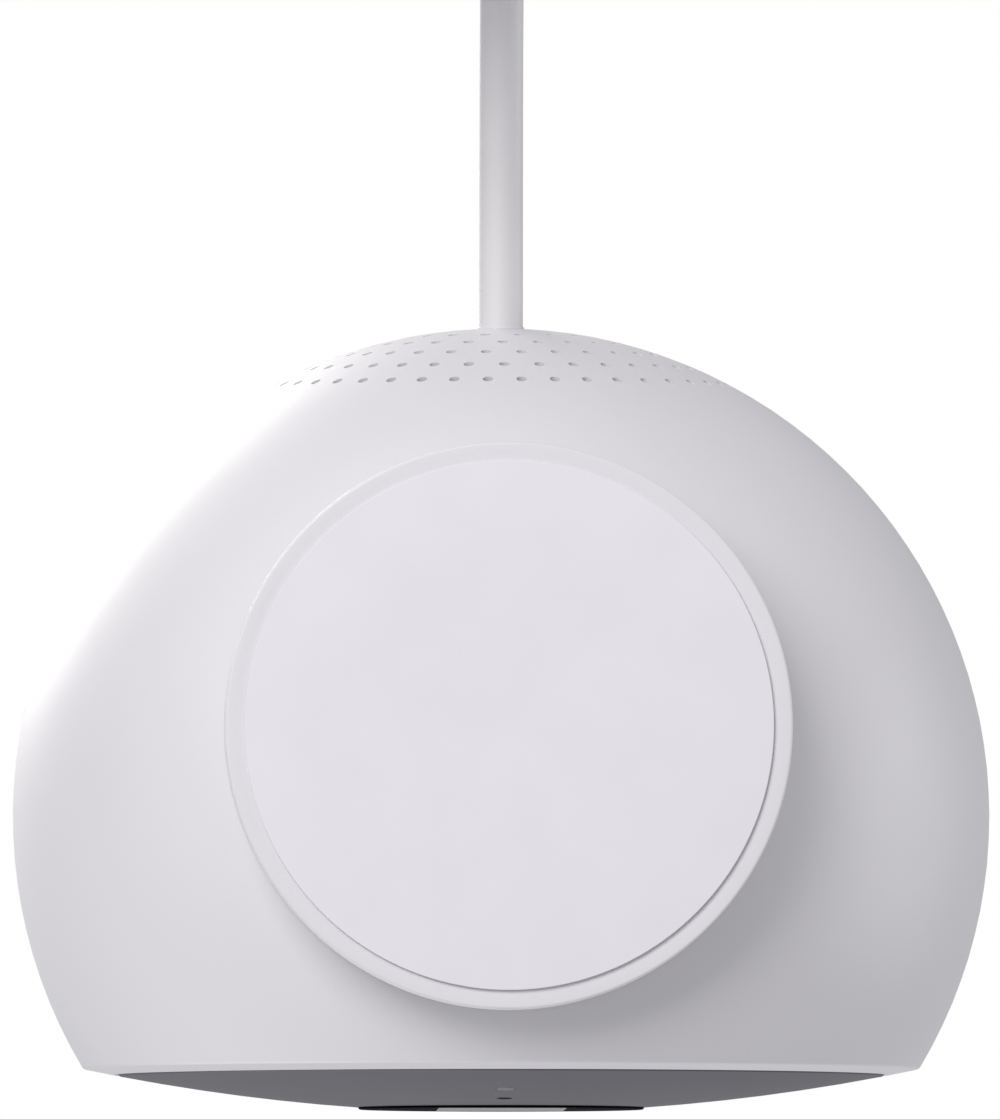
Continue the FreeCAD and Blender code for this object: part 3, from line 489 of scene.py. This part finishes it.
# Front-printed black ink, matt, all round the live area.
black_ink, tree, shader, at = new_finish("screen_printed_black_ink", "#08080A", 0.6)
shader.inputs["Specular IOR Level"].default_value = 0.01
tone_variation(tree, shader, at, 3 * MM, "#050506", "#070708")
grain_bump(tree, shader, at, 0.25 * MM, 0.003 * MM)
print_ring = in_scene(
    "window_print",
    plate_ring("window_print", rim, live_edge, glass_depth, glass_place, GLASS_CHAMFER), black_ink,
)
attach(print_ring, "root")
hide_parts("window_glass")
# Bare float glass over the dark panel, a shade bluer than the print, with a slow random change of tone.
live_glass, tree, shader, at = new_finish("bare_cover_glass", "#0C0D10", 0.14)
shader.inputs["Specular IOR Level"].default_value = 0.2
tone_variation(tree, shader, at, 6 * MM, "#0B0C0F", "#0E0F13")
sheet_rows = [live_edge * 0, live_edge, live_edge, live_edge * 0]
depths = np.array([-1, -1, 1, 1])[:, None] * glass_depth / 2 * np.ones(len(live_edge))
points = np.stack([np.array(sheet_rows)[..., 0], depths, np.array(sheet_rows)[..., 1]], -1) + glass_place
live = in_scene("live_area_glass", surface("live_area_glass", points), live_glass)
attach(live, "root")

# ---- Cord grommet -------------------------------------------------------------------------------------
# The collar that the lead leaves through, moulded on it in the same soft PVC and held in the shell by its
# flange. Only its rounded rim shows at the back.
GROMMET = (  # radius, how far in front of its rear end, softening
    (0.0, 0.0, 0.0), (2.45, 0.0, 0.1), (2.45, 2.72, 0.1), (5.2, 2.72, 0.2), (5.2, 4.52, 0.2),
    (3.2, 4.52, 0.3), (3.2, 7.65, 0.5), (0.0, 7.65, 0.0),
)
shape = np.array(GROMMET) * MM
outline = between_poles(shape[:, :2], shape[:, 2])
soft_pvc, tree, shader, at = new_finish("moulded_soft_pvc", "#D6D5D7", 0.5)
tone_variation(tree, shader, at, 4 * MM, "#D4D3D5", "#D8D7D9")
grain_bump(tree, shader, at, 0.3 * MM, 0.008 * MM)
grommet = in_scene(
    "lead_grommet",
    turned("lead_grommet", outline, (ball_centre[0], grommet_high.y, ball_centre[2]), FORWARD, 96), soft_pvc,
)
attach(grommet, "root")
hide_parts("cord_grommet")

# ---- Foot skirt ---------------------------------------------------------------------------------------
# The round foot that the ball is fixed to: a short tube that ends where it meets the ball, with a saucer
# inside that carries it. Moulded in the shell's plastic, with a rounded lower edge; the pad stands out of it.
skirt_low, skirt_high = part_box("foot_skirt")
pad_low, pad_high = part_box("foot_pad")
foot_radius = (skirt_high.x - skirt_low.x) / 2
pad_radius = (pad_high.x - pad_low.x) / 2
SKIRT_WALL = 3.0 * MM
SAUCER = 2.15 * MM
SEAT_GAP = 0.05 * MM
SAUCER_HOLE = 17.5 * MM
SKIRT_FLOOR = 3.6 * MM
a = np.linspace(0, 2 * math.pi, 240, endpoint=False)
level = np.ones_like(a)
hole_reach = ball_centre[1] * np.sin(a)
hole_edge = hole_reach + np.sqrt(SAUCER_HOLE ** 2 - ball_centre[1] ** 2 + hole_reach ** 2)


def height_under_ball(r, sphere):
    """Where the upright line at radius r from the foot's axis meets a sphere round the ball, from below.

    It is the centre's height less the root of: sphere squared, less the squares of the two distances across.
    """
    x = r * np.cos(a)
    y = r * np.sin(a) - ball_centre[1]
    return ball_centre[2] - np.sqrt(sphere ** 2 - x ** 2 - y ** 2)


inner = foot_radius - SKIRT_WALL
seat_sphere = BALL_RADIUS + SEAT_GAP
across = np.linspace(0, 1, 14)[:, None]
top_radius = foot_radius + (hole_edge - foot_radius) * across
under_radius = hole_edge + (inner - hole_edge) * across
rings = [
    (level * pad_radius, level * SKIRT_FLOOR, 0.0),
    (level * pad_radius, level * skirt_low.z, 0.02 * MM),
    (level * foot_radius, level * skirt_low.z, 0.3 * MM),
]
rings += [(r, height_under_ball(r, seat_sphere), 0.0) for r in top_radius]
rings += [(r, height_under_ball(r, seat_sphere + SAUCER), 0.0) for r in under_radius]
rings += [(level * inner, level * SKIRT_FLOOR, 0.0)]
radii = np.array([r for r, _, _ in rings])
heights = np.array([z for _, z, _ in rings])
points = np.stack([radii * np.cos(a), radii * np.sin(a), heights], -1)
points = soft_corners(points, [cut for _, _, cut in rings], 5)
skirt = in_scene("foot_tube", surface("foot_tube", points, close_rows=True), white_plastic)
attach(skirt, "root")
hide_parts("foot_skirt")

# ---- Foot pad -----------------------------------------------------------------------------------------
# A disc of pale silicone rubber, pressed in a polished mould and stuck in the foot's recess, with its edge
# rounded. Silicone gives a flat, chalky pale grey with a violet cast, and fine talc-like specks.
PAD_EDGE = 0.08 * MM
outline = between_poles(
    [(0, 0), (pad_radius * 0.5, 0), (pad_radius, 0), (pad_radius, pad_high.z), (0, pad_high.z)],
    (0, 0, PAD_EDGE, 0.1 * MM, 0),
)
silicone, tree, shader, at = new_finish("pressed_silicone", "#E0DFE4", 0.72)
shader.inputs["IOR"].default_value = 1.43
tone_variation(tree, shader, at, 9 * MM, "#DFDEE3", "#E1E0E5")
grain_bump(tree, shader, at, 0.35 * MM, 0.01 * MM)
pad = in_scene("silicone_pad", turned("silicone_pad", outline, (0, 0, 0), (0, 0, 1), 192), silicone)
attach(pad, "root")
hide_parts("foot_pad")

# ---- Inside the foot ----------------------------------------------------------------------------------
# A grey ABS plate and three zinc-plated pan-head screws hold the foot to the ball through a turned steel
# ballast disc, so that the round device can't roll over.
grey_abs, tree, shader, at = new_finish("moulded_grey_abs", "#8E8F93", 0.5)
tone_variation(tree, shader, at, 18 * MM, "#8A8B8F", "#929397")
grain_bump(tree, shader, at, 0.4 * MM, 0.01 * MM)
dress(grey_abs, "foot_base", "speaker_enclosure")
zinc, tree, shader, at = new_finish("zinc_plated_steel", "#BFC2C6", 0.3)
shader.inputs["Metallic"].default_value = 1.0
tone_variation(tree, shader, at, 1.5 * MM, "#B4B7BC", "#C8CBCE")
grain_bump(tree, shader, at, 0.2 * MM, 0.004 * MM)
dress(
    zinc, "foot_screws", "core_screws", "main_board_screws", "enclosure_screws", "speaker_screws",
    "button_board_screws", "display_screws",
)
# Turned steel: the tool leaves rings 0.4 mm apart about the disc's axis.
turned_steel, tree, shader, at = new_finish("turned_steel", "#A3A5A8", 0.34)
shader.inputs["Metallic"].default_value = 1.0
on_axis = add_node(
    tree, "ShaderNodeMapping", {"Location": (0.0, float(-ball_centre[1]), 0.0)}, {"Vector": at}
)
tool_rings = add_node(
    tree, "ShaderNodeTexWave", {"Scale": 1.0 / (20 * 0.4 * MM), "Distortion": 0.3},
    {"Vector": on_axis.outputs[0]}, wave_type="RINGS", rings_direction="Z",
)
ring_bump = add_node(
    tree, "ShaderNodeBump", {"Strength": 0.6, "Distance": 0.01 * MM}, {"Height": tool_rings.outputs["Fac"]}
)
tree.links.new(ring_bump.outputs[0], shader.inputs["Normal"])
tone_variation(tree, shader, at, 6 * MM, "#9C9EA1", "#AAACAF")
dress(turned_steel, "ballast_weight")

# ---- Buttons ------------------------------------------------------------------------------------------
# Three round keys in the top, moulded in the shell's plastic with a polished crown that follows the ball.
# Each has a plain printed sign: minus, a struck-out microphone, or plus. A flange keeps it in its bore.
KEY_RADIUS = 4.6 * MM
KEY_FLANGE = 5.8 * MM
KEY_FLANGE_TOP = 1.2 * MM
KEY_EDGE = 0.3 * MM
KEY_CROWN = BALL_RADIUS + 0.2 * MM
SIGN_PROUD = 0.03 * MM
SIGN_ROOT = 0.25 * MM
SIGNS = {  # each bar: length, width, turn in degrees, centre across and along
    "volume_down_button": ((3.2, 0.55, 0, 0, 0),),
    "mic_mute_button": ((2.0, 1.1, 90, 0, 0.45), (1.3, 0.3, 0, 0, -1.35), (3.8, 0.35, 45, 0, 0)),
    "volume_up_button": ((3.2, 0.55, 0, 0, 0), (3.2, 0.55, 90, 0, 0)),
}


def crown_height(x, y):
    """The height of the sphere that the keys' crowns follow, over a place across and along the ball."""
    return ball_centre[2] + np.sqrt(KEY_CROWN ** 2 - x ** 2 - (y - ball_centre[1]) ** 2)


def sign_bar(name, middle, length, width, turn, right, ahead):
    """A flat bar with round ends lying on the crown.

    Its edge is a circle of half the width, moved out along the bar by the sign of the cosine, then turned.
    """
    t = np.linspace(0, 2 * math.pi, 28, endpoint=False)
    u = np.sign(np.round(np.cos(t), 9)) * (length - width) / 2 * MM + width / 2 * MM * np.cos(t)
    v = width / 2 * MM * np.sin(t)
    c, s = math.cos(math.radians(turn)), math.sin(math.radians(turn))
    fan = np.array([0.0, 0.5, 1.0, 1.0, 0.0])[:, None]
    x = middle.x + right * MM + fan * (u * c - v * s)
    y = middle.y + ahead * MM + fan * (u * s + v * c)
    lift = np.array([SIGN_PROUD, SIGN_PROUD, SIGN_PROUD, -SIGN_ROOT, -SIGN_ROOT])[:, None]
    return surface(name, np.stack([x, y, crown_height(x, y) + lift], -1))


key_plastic, tree, shader, at = new_finish("satin_key_plastic", "#DAD9DC", 0.34)
shader.inputs["IOR"].default_value = 1.54
tone_variation(tree, shader, at, 5 * MM, "#D9D8DB", "#DBDADD")
grain_bump(tree, shader, at, 0.3 * MM, 0.003 * MM)
pad_ink, tree, shader, at = new_finish("pad_printed_ink", "#8C8C92", 0.45)
tone_variation(tree, shader, at, 0.4 * MM, "#86868C", "#929298")
grain_bump(tree, shader, at, 0.12 * MM, 0.004 * MM)
for node, bars in SIGNS.items():
    key_low, key_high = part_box(node)
    middle = (key_low + key_high) / 2
    a = np.linspace(0, 2 * math.pi, 96, endpoint=False)
    crown_reach = np.array([0, 0.3, 0.6, 0.85, 1.0, 1.0]) * KEY_RADIUS
    out = np.r_[crown_reach, np.array([1, 1, 0]) * KEY_FLANGE][:, None]
    x, y = out * np.cos(a) + middle.x, out * np.sin(a) + middle.y
    z = crown_height(x, y)
    z[5:7] = key_low.z + KEY_FLANGE_TOP
    z[7:] = key_low.z
    cuts = (0, 0, 0, 0, KEY_EDGE, 0.1 * MM, 0.1 * MM, 0.1 * MM, 0)
    points = soft_corners(np.stack([x, y, z], -1), cuts)
    key = in_scene(node + "_key", surface(node + "_key", points), key_plastic)
    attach(key, node)
    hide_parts(node)
    sign = in_scene(
        node + "_sign", joined(node + "_sign", [sign_bar("bar", middle, *bar) for bar in bars]), pad_ink
    )
    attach(sign, node)

# ---- Adapter, its relief and the tie ------------------------------------------------------------------
# A small white plug-in adapter that lies on its back beside the coil with its blades up. Two halves of glossy
# ABS are welded along a line; the relief is ribbed soft PVC, and a hook-and-loop band holds the coil.
adapter_low, adapter_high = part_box("adapter_body")
adapter_middle = (adapter_low + adapter_high) / 2
PLAN_CORNER = 5.0 * MM
ADAPTER_PROFILE = (  # inset from the sides, height, softening
    (2.4, 0.0, 1.2), (0.0, 2.4, 1.2), (0.0, 18.6, 0.05), (0.22, 18.75, 0.0), (0.22, 18.95, 0.0),
    (0.0, 19.1, 0.05), (0.0, 24.4, 1.0), (1.6, 26.0, 0.6), (4.4, 26.0, 0.1), (4.5, 25.6, 0.0),
    (4.9, 25.6, 0.0), (5.0, 26.0, 0.1),
)

half = (adapter_high - adapter_low) / 2
profile = np.array(ADAPTER_PROFILE) * MM
shape = between_poles(
    np.vstack([[profile[0, :2] + (1 * MM, 0)], profile[:, :2], [profile[-1, :2] + (1 * MM, 0)]]),
    np.r_[0, profile[:, 2], 0],
)
insets = shape[:, 0]
rows = [
    np.c_[rounded_plan(half.x - d, half.y - d, max(PLAN_CORNER - d, 0.6 * MM)), np.full(32, z)]
    for d, z in zip(insets, shape[:, 1])
]
rows = [rows[0] * (0, 0, 1)] + rows + [rows[-1] * (0, 0, 1)]
points = np.array(rows) + (adapter_middle.x, adapter_middle.y, 0)
gloss_abs, tree, shader, at = new_finish("polished_white_abs", "#EDECEC", 0.22)
shader.inputs["IOR"].default_value = 1.54
tone_variation(tree, shader, at, 20 * MM, "#EBEAEA", "#EFEEEE")
grain_bump(tree, shader, at, 1.2 * MM, 0.004 * MM)
adapter = in_scene("adapter_housing", surface("adapter_housing", points), gloss_abs)
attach(adapter, "root")
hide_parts("adapter_body")

# Blades: nickel-plated brass strip, punched with a hole near the tip, whose corners are cut round.
blades_low, blades_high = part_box("adapter_blades")
BLADE_THICKNESS = 1.5 * MM
BLADE_CORNER = 1.6 * MM
HOLE_RADIUS = 1.6 * MM
HOLE_FROM_TIP = 3.4 * MM
blade_height = blades_high.z - blades_low.z
blade_half_width = (blades_high.x - blades_low.x) / 2
edge = evenly(rounded_plan(blade_half_width, blade_height / 2, BLADE_CORNER), 160)
hole_up = blade_height / 2 - HOLE_FROM_TIP
seen_from_hole = np.arctan2(edge[:, 1] - hole_up, edge[:, 0])
hole = HOLE_RADIUS * np.stack([np.cos(seen_from_hole), np.sin(seen_from_hole)], -1) + (0, hole_up)
outline = np.stack([edge, hole, hole, edge])
depth = np.array([-1, -1, 1, 1])[:, None, None] * BLADE_THICKNESS / 2
flat = np.concatenate([outline, np.broadcast_to(depth, outline.shape[:2] + (1,))], -1)
flat = soft_corners(flat, 0.15 * MM, 3)
blade_meshes = []
for y in (blades_low.y + BLADE_THICKNESS / 2, blades_high.y - BLADE_THICKNESS / 2):
    place = np.array([(blades_low.x + blades_high.x) / 2, y, (blades_low.z + blades_high.z) / 2])
    blade_meshes.append(surface("blade", flat[..., [0, 2, 1]] + place, close_rows=True))
nickel, tree, shader, at = new_finish("nickel_plated_brass", "#C9C6BE", 0.2)
shader.inputs["Metallic"].default_value = 1.0
# Rolling leaves faint streaks along the strip, about 0.25 mm apart.
streaks = add_node(
    tree, "ShaderNodeMapping", {"Scale": (1 / (0.25 * MM), 1 / (0.25 * MM), 1 / (6 * MM))}, {"Vector": at}
)
rolled = add_node(
    tree, "ShaderNodeTexNoise", {"Scale": 1.0, "Detail": 2.0}, {"Vector": streaks.outputs[0]}
)
rolled_bump = add_node(
    tree, "ShaderNodeBump", {"Strength": 1.0, "Distance": 0.004 * MM}, {"Height": rolled.outputs["Fac"]}
)
tree.links.new(rolled_bump.outputs[0], shader.inputs["Normal"])
tone_variation(tree, shader, at, 3 * MM, "#C4C1B9", "#CECBC4")
blades = in_scene("plug_blades", joined("plug_blades", blade_meshes), nickel)
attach(blades, "root")
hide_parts("adapter_blades")

# The relief tapers towards the lead, with grooves round it so that it bends evenly.
RELIEF_MOUTH = np.array([-4.0, 97.25, 7.0]) * MM
RELIEF_ENTRY = np.array([-18.0, 97.25, 11.2]) * MM
RELIEF_THIN = 2.65 * MM
RELIEF_THICK = 3.75 * MM
RIBS = 5
RIB_DEPTH = 0.55 * MM
slope = RELIEF_ENTRY - RELIEF_MOUTH
reach = float(np.linalg.norm(slope))
s = np.linspace(0, 1, 71)
groove = np.clip(np.sin(2 * math.pi * (RIBS * s - 0.25)) * 2.2 - 1.0, 0, 1) * (s > 0.06) * (s < 0.94)
wall = RELIEF_THIN + (RELIEF_THICK - RELIEF_THIN) * s - RIB_DEPTH * groove * (0.35 + 0.65 * s)
outline = np.vstack([[(0, 0)], np.c_[wall, s * reach], [(0, reach)]])
relief = in_scene("ribbed_relief", turned("ribbed_relief", outline, RELIEF_MOUTH, slope, 72), soft_pvc)
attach(relief, "root")
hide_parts("adapter_relief")

# The tie: a woven nylon band with a brushed outer face, once round the section of the coil.
tie_low, tie_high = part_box("cord_tie")
TIE_HALF = 0.36 * MM
TIE_CORNER = 4.5 * MM
TIE_CLEARANCE = 0.6 * MM
inner_y = coil_middle.y + INNER_TURN - CORD_DIAMETER / 2 - TIE_CLEARANCE
outer_y = coil_middle.y + OUTER_TURN + CORD_DIAMETER / 2 + TIE_CLEARANCE
loop_half = ((outer_y - inner_y) / 2, (tie_high.z - tie_low.z) / 2 - TIE_HALF)
loop_middle = ((outer_y + inner_y) / 2, (tie_high.z + tie_low.z) / 2)
path = rounded_plan(*loop_half, TIE_CORNER, 10)
along = np.roll(path, -1, 0) - np.roll(path, 1, 0)
normal = np.stack([along[:, 1], -along[:, 0]], -1) / np.linalg.norm(along, axis=1)[:, None]
tie_half_width = (tie_high.x - tie_low.x) / 2 - 0.2 * MM
section = soft_corners(
    [(-tie_half_width, -TIE_HALF), (tie_half_width, -TIE_HALF), (tie_half_width, TIE_HALF),
     (-tie_half_width, TIE_HALF)], 0.25 * MM, 3,
)
strap = path[None] + normal[None] * section[:, None, 1:]
x = np.broadcast_to(section[:, None, :1], strap.shape[:2] + (1,)) + (tie_low.x + tie_high.x) / 2
points = np.concatenate([x, strap[..., :1] + loop_middle[0], strap[..., 1:] + loop_middle[1]], -1)
brushed_nylon, tree, shader, at = new_finish("brushed_nylon_band", "#E3E2E2", 0.85)
shader.inputs["Sheen Weight"].default_value = 0.25
# The loops of the pile are about 0.45 mm apart.
pile = add_node(tree, "ShaderNodeTexVoronoi", {"Scale": 1 / (0.45 * MM)}, {"Vector": at})
pile_bump = add_node(
    tree, "ShaderNodeBump", {"Strength": 0.8, "Distance": 0.12 * MM}, {"Height": pile.outputs["Distance"]}
)
tree.links.new(pile_bump.outputs[0], shader.inputs["Normal"])
tone_variation(tree, shader, at, 0.6 * MM, "#DAD9D9", "#EAE9E9")
tie = in_scene("coil_tie", surface("coil_tie", points, close_rows=True), brushed_nylon)
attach(tie, "root")
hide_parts("cord_tie")

# ---- Display and sensors behind the face --------------------------------------------------------------
# A round panel clipped in a stamped bracket, with a polyimide flex to its connector, and a small board that
# carries the microphone, in its rubber gasket, and the lamp for the light pipe.
panel_black, tree, shader, at = new_finish("anodised_panel_back", "#1C1D20", 0.4)
tone_variation(tree, shader, at, 5 * MM, "#18191C", "#212226")
grain_bump(tree, shader, at, 0.25 * MM, 0.006 * MM)
dress(panel_black, "display_module", "front_microphone", "tact_switches")
tinned, tree, shader, at = new_finish("tinned_sheet_steel", "#B9BABC", 0.32)
shader.inputs["Metallic"].default_value = 1.0
tone_variation(tree, shader, at, 4 * MM, "#B0B1B4", "#C2C3C5")
grain_bump(tree, shader, at, 0.3 * MM, 0.006 * MM)
dress(tinned, "display_bracket", "processor_shield")
polyimide, tree, shader, at = new_finish("polyimide_flex", "#B26A22", 0.28)
# Copper tracks under the film, 0.8 mm apart, show as darker lines along it.
tracks = add_node(
    tree, "ShaderNodeTexWave", {"Scale": 1.0 / (20 * 0.8 * MM), "Distortion": 0.0}, {"Vector": at},
    wave_type="BANDS", bands_direction="X",
)
film = add_node(tree, "ShaderNodeValToRGB", None, {"Fac": tracks.outputs["Fac"]})
film.color_ramp.elements[0].color = colour("#8F4E16")
film.color_ramp.elements[1].color = colour("#BE7A30")
tree.links.new(film.outputs["Color"], shader.inputs["Base Color"])
dress(polyimide, "display_flex", "button_flex")
ivory_nylon, tree, shader, at = new_finish("moulded_ivory_nylon", "#D8D2C0", 0.48)
tone_variation(tree, shader, at, 2 * MM, "#D3CDBA", "#DDD7C6")
grain_bump(tree, shader, at, 0.3 * MM, 0.008 * MM)
dress(ivory_nylon, "display_connector", "power_connector")
black_rubber, tree, shader, at = new_finish("moulded_black_rubber", "#242427", 0.7)
tone_variation(tree, shader, at, 2 * MM, "#202023", "#2A2A2D")
grain_bump(tree, shader, at, 0.3 * MM, 0.015 * MM)
dress(black_rubber, "mic_gasket", "power_lead")
lamp_epoxy, tree, shader, at = new_finish("lamp_epoxy", "#E6E2C8", 0.25)
tone_variation(tree, shader, at, 0.5 * MM, "#E2DDBE", "#ECE9D4")
dress(lamp_epoxy, "status_led")
# Solder mask over copper: the tracks, about 0.9 mm apart, are a lighter green and stand up a little.
solder_mask, tree, shader, at = new_finish("solder_masked_board", "#1E5237", 0.35)
routing = add_node(
    tree, "ShaderNodeTexVoronoi", {"Scale": 1 / (0.9 * MM)}, {"Vector": at}, distance="CHEBYCHEV",
    feature="F1",
)
mask = add_node(tree, "ShaderNodeValToRGB", None, {"Fac": routing.outputs["Distance"]})
mask.color_ramp.elements[0].position = 0.42
mask.color_ramp.elements[1].position = 0.5
mask.color_ramp.elements[0].color = colour("#173F2B")
mask.color_ramp.elements[1].color = colour("#2C6E4A")
tree.links.new(mask.outputs["Color"], shader.inputs["Base Color"])
mask_bump = add_node(
    tree, "ShaderNodeBump", {"Strength": 0.5, "Distance": 0.03 * MM}, {"Height": mask.outputs["Color"]}
)
tree.links.new(mask_bump.outputs[0], shader.inputs["Normal"])
dress(solder_mask, "front_sensor_board", "main_board", "button_board")

# ---- Core, heat sink and antenna ----------------------------------------------------------------------
# The core is moulded in glass-filled nylon, whose fibres leave fine pale streaks. The sink is extruded
# aluminium, with die lines along its fins, and the antenna is stamped brass.
filled_nylon, tree, shader, at = new_finish("glass_filled_nylon", "#3C3D41", 0.55)
stretched = add_node(
    tree, "ShaderNodeMapping", {"Scale": (1 / (3 * MM), 1 / (0.5 * MM), 1 / (0.5 * MM))}, {"Vector": at}
)
fibres = add_node(
    tree, "ShaderNodeTexNoise", {"Scale": 1.0, "Detail": 3.0, "Roughness": 0.6},
    {"Vector": stretched.outputs[0]},
)
fibre_tone = add_node(tree, "ShaderNodeValToRGB", None, {"Fac": fibres.outputs["Fac"]})
fibre_tone.color_ramp.elements[0].position = 0.4
fibre_tone.color_ramp.elements[1].position = 0.75
fibre_tone.color_ramp.elements[0].color = colour("#37383C")
fibre_tone.color_ramp.elements[1].color = colour("#4B4C51")
tree.links.new(fibre_tone.outputs["Color"], shader.inputs["Base Color"])
dress(filled_nylon, "core_frame")
extruded, tree, shader, at = new_finish("extruded_aluminium", "#C3C5C8", 0.36)
shader.inputs["Metallic"].default_value = 1.0
die_way = add_node(
    tree, "ShaderNodeMapping", {"Scale": (1 / (0.3 * MM), 1 / (0.3 * MM), 1 / (15 * MM))}, {"Vector": at}
)
die_lines = add_node(
    tree, "ShaderNodeTexNoise", {"Scale": 1.0, "Detail": 2.0}, {"Vector": die_way.outputs[0]}
)
die_bump = add_node(
    tree, "ShaderNodeBump", {"Strength": 1.0, "Distance": 0.01 * MM}, {"Height": die_lines.outputs["Fac"]}
)
tree.links.new(die_bump.outputs[0], shader.inputs["Normal"])
tone_variation(tree, shader, at, 6 * MM, "#BDBFC2", "#C9CBCE")
dress(extruded, "heat_sink")
silicone_gap, tree, shader, at = new_finish("filled_silicone_gap_pad", "#A9B4BD", 0.8)
tone_variation(tree, shader, at, 1.2 * MM, "#A2ADB6", "#B1BBC4")
grain_bump(tree, shader, at, 0.4 * MM, 0.03 * MM)
dress(silicone_gap, "thermal_pad")
brass, tree, shader, at = new_finish("stamped_brass", "#C9A552", 0.3)
shader.inputs["Metallic"].default_value = 1.0
tone_variation(tree, shader, at, 3 * MM, "#C09A48", "#D0AD5C")
grain_bump(tree, shader, at, 0.25 * MM, 0.005 * MM)
dress(brass, "wifi_antenna")

# ---- Speaker ------------------------------------------------------------------------------------------
# A small loudspeaker that fires backwards through the holes: painted steel basket, sintered ferrite magnet,
# wound copper coil, pressed paper cone with a rubber surround, and pale cloth stretched behind the holes.
painted_steel, tree, shader, at = new_finish("painted_basket_steel", "#2B2C2F", 0.45)
tone_variation(tree, shader, at, 6 * MM, "#27282B", "#303134")
grain_bump(tree, shader, at, 0.5 * MM, 0.015 * MM)
dress(painted_steel, "speaker_frame")
ferrite, tree, shader, at = new_finish("sintered_ferrite", "#3A3A3C", 0.6)
tone_variation(tree, shader, at, 1.0 * MM, "#333335", "#424244")
grain_bump(tree, shader, at, 0.3 * MM, 0.02 * MM)
dress(ferrite, "speaker_magnet")
# Enamelled wire wound side by side, 0.3 mm apart along the coil.
copper, tree, shader, at = new_finish("enamelled_copper", "#B4622F", 0.3)
shader.inputs["Metallic"].default_value = 1.0
winding = add_node(
    tree, "ShaderNodeTexWave", {"Scale": 1.0 / (20 * 0.3 * MM), "Distortion": 0.0}, {"Vector": at},
    wave_type="BANDS", bands_direction="Y",
)
wound_bump = add_node(
    tree, "ShaderNodeBump", {"Strength": 1.0, "Distance": 0.08 * MM}, {"Height": winding.outputs["Fac"]}
)
tree.links.new(wound_bump.outputs[0], shader.inputs["Normal"])
tone_variation(tree, shader, at, 2 * MM, "#AB5A29", "#BE6C38")
dress(copper, "voice_coil")
pulp, tree, shader, at = new_finish("pressed_paper_pulp", "#33312F", 0.88)
tone_variation(tree, shader, at, 0.8 * MM, "#2C2A28", "#3D3B38")
grain_bump(tree, shader, at, 0.5 * MM, 0.06 * MM)
dress(pulp, "speaker_cone")
surround_rubber, tree, shader, at = new_finish("thermoformed_rubber", "#1F1F21", 0.5)
tone_variation(tree, shader, at, 2 * MM, "#1B1B1D", "#242427")
grain_bump(tree, shader, at, 0.4 * MM, 0.01 * MM)
dress(surround_rubber, "speaker_surround")
foam, tree, shader, at = new_finish("open_cell_foam", "#47474A", 0.92)
cells = add_node(tree, "ShaderNodeTexVoronoi", {"Scale": 1 / (0.5 * MM)}, {"Vector": at})
cell_bump = add_node(
    tree, "ShaderNodeBump", {"Strength": 1.0, "Distance": 0.15 * MM}, {"Height": cells.outputs["Distance"]}
)
tree.links.new(cell_bump.outputs[0], shader.inputs["Normal"])
tone_variation(tree, shader, at, 0.7 * MM, "#3D3D40", "#525255")
dress(foam, "grille_gasket")
# Acoustic cloth: a plain weave of polyester threads 0.25 mm apart, drawn across and up the ball's back.
cloth, tree, shader, at = new_finish("acoustic_cloth", "#A3A2A6", 0.9)
THREAD = 0.25 * MM
weave = [
    add_node(
        tree, "ShaderNodeTexWave", {"Scale": 1.0 / (20 * THREAD), "Distortion": 0.0}, {"Vector": at},
        wave_type="BANDS", bands_direction=way,
    )
    for way in ("X", "Z")
]
crossing = add_node(
    tree, "ShaderNodeMath", None, {0: weave[0].outputs["Fac"], 1: weave[1].outputs["Fac"]},
    operation="MULTIPLY",
)
cloth_tone = add_node(tree, "ShaderNodeValToRGB", None, {"Fac": crossing.outputs[0]})
cloth_tone.color_ramp.elements[0].color = colour("#8B8A8E")
cloth_tone.color_ramp.elements[1].color = colour("#B4B3B7")
tree.links.new(cloth_tone.outputs["Color"], shader.inputs["Base Color"])
weave_bump = add_node(
    tree, "ShaderNodeBump", {"Strength": 1.0, "Distance": 0.08 * MM}, {"Height": crossing.outputs[0]}
)
tree.links.new(weave_bump.outputs[0], shader.inputs["Normal"])
dress(cloth, "grille_mesh")
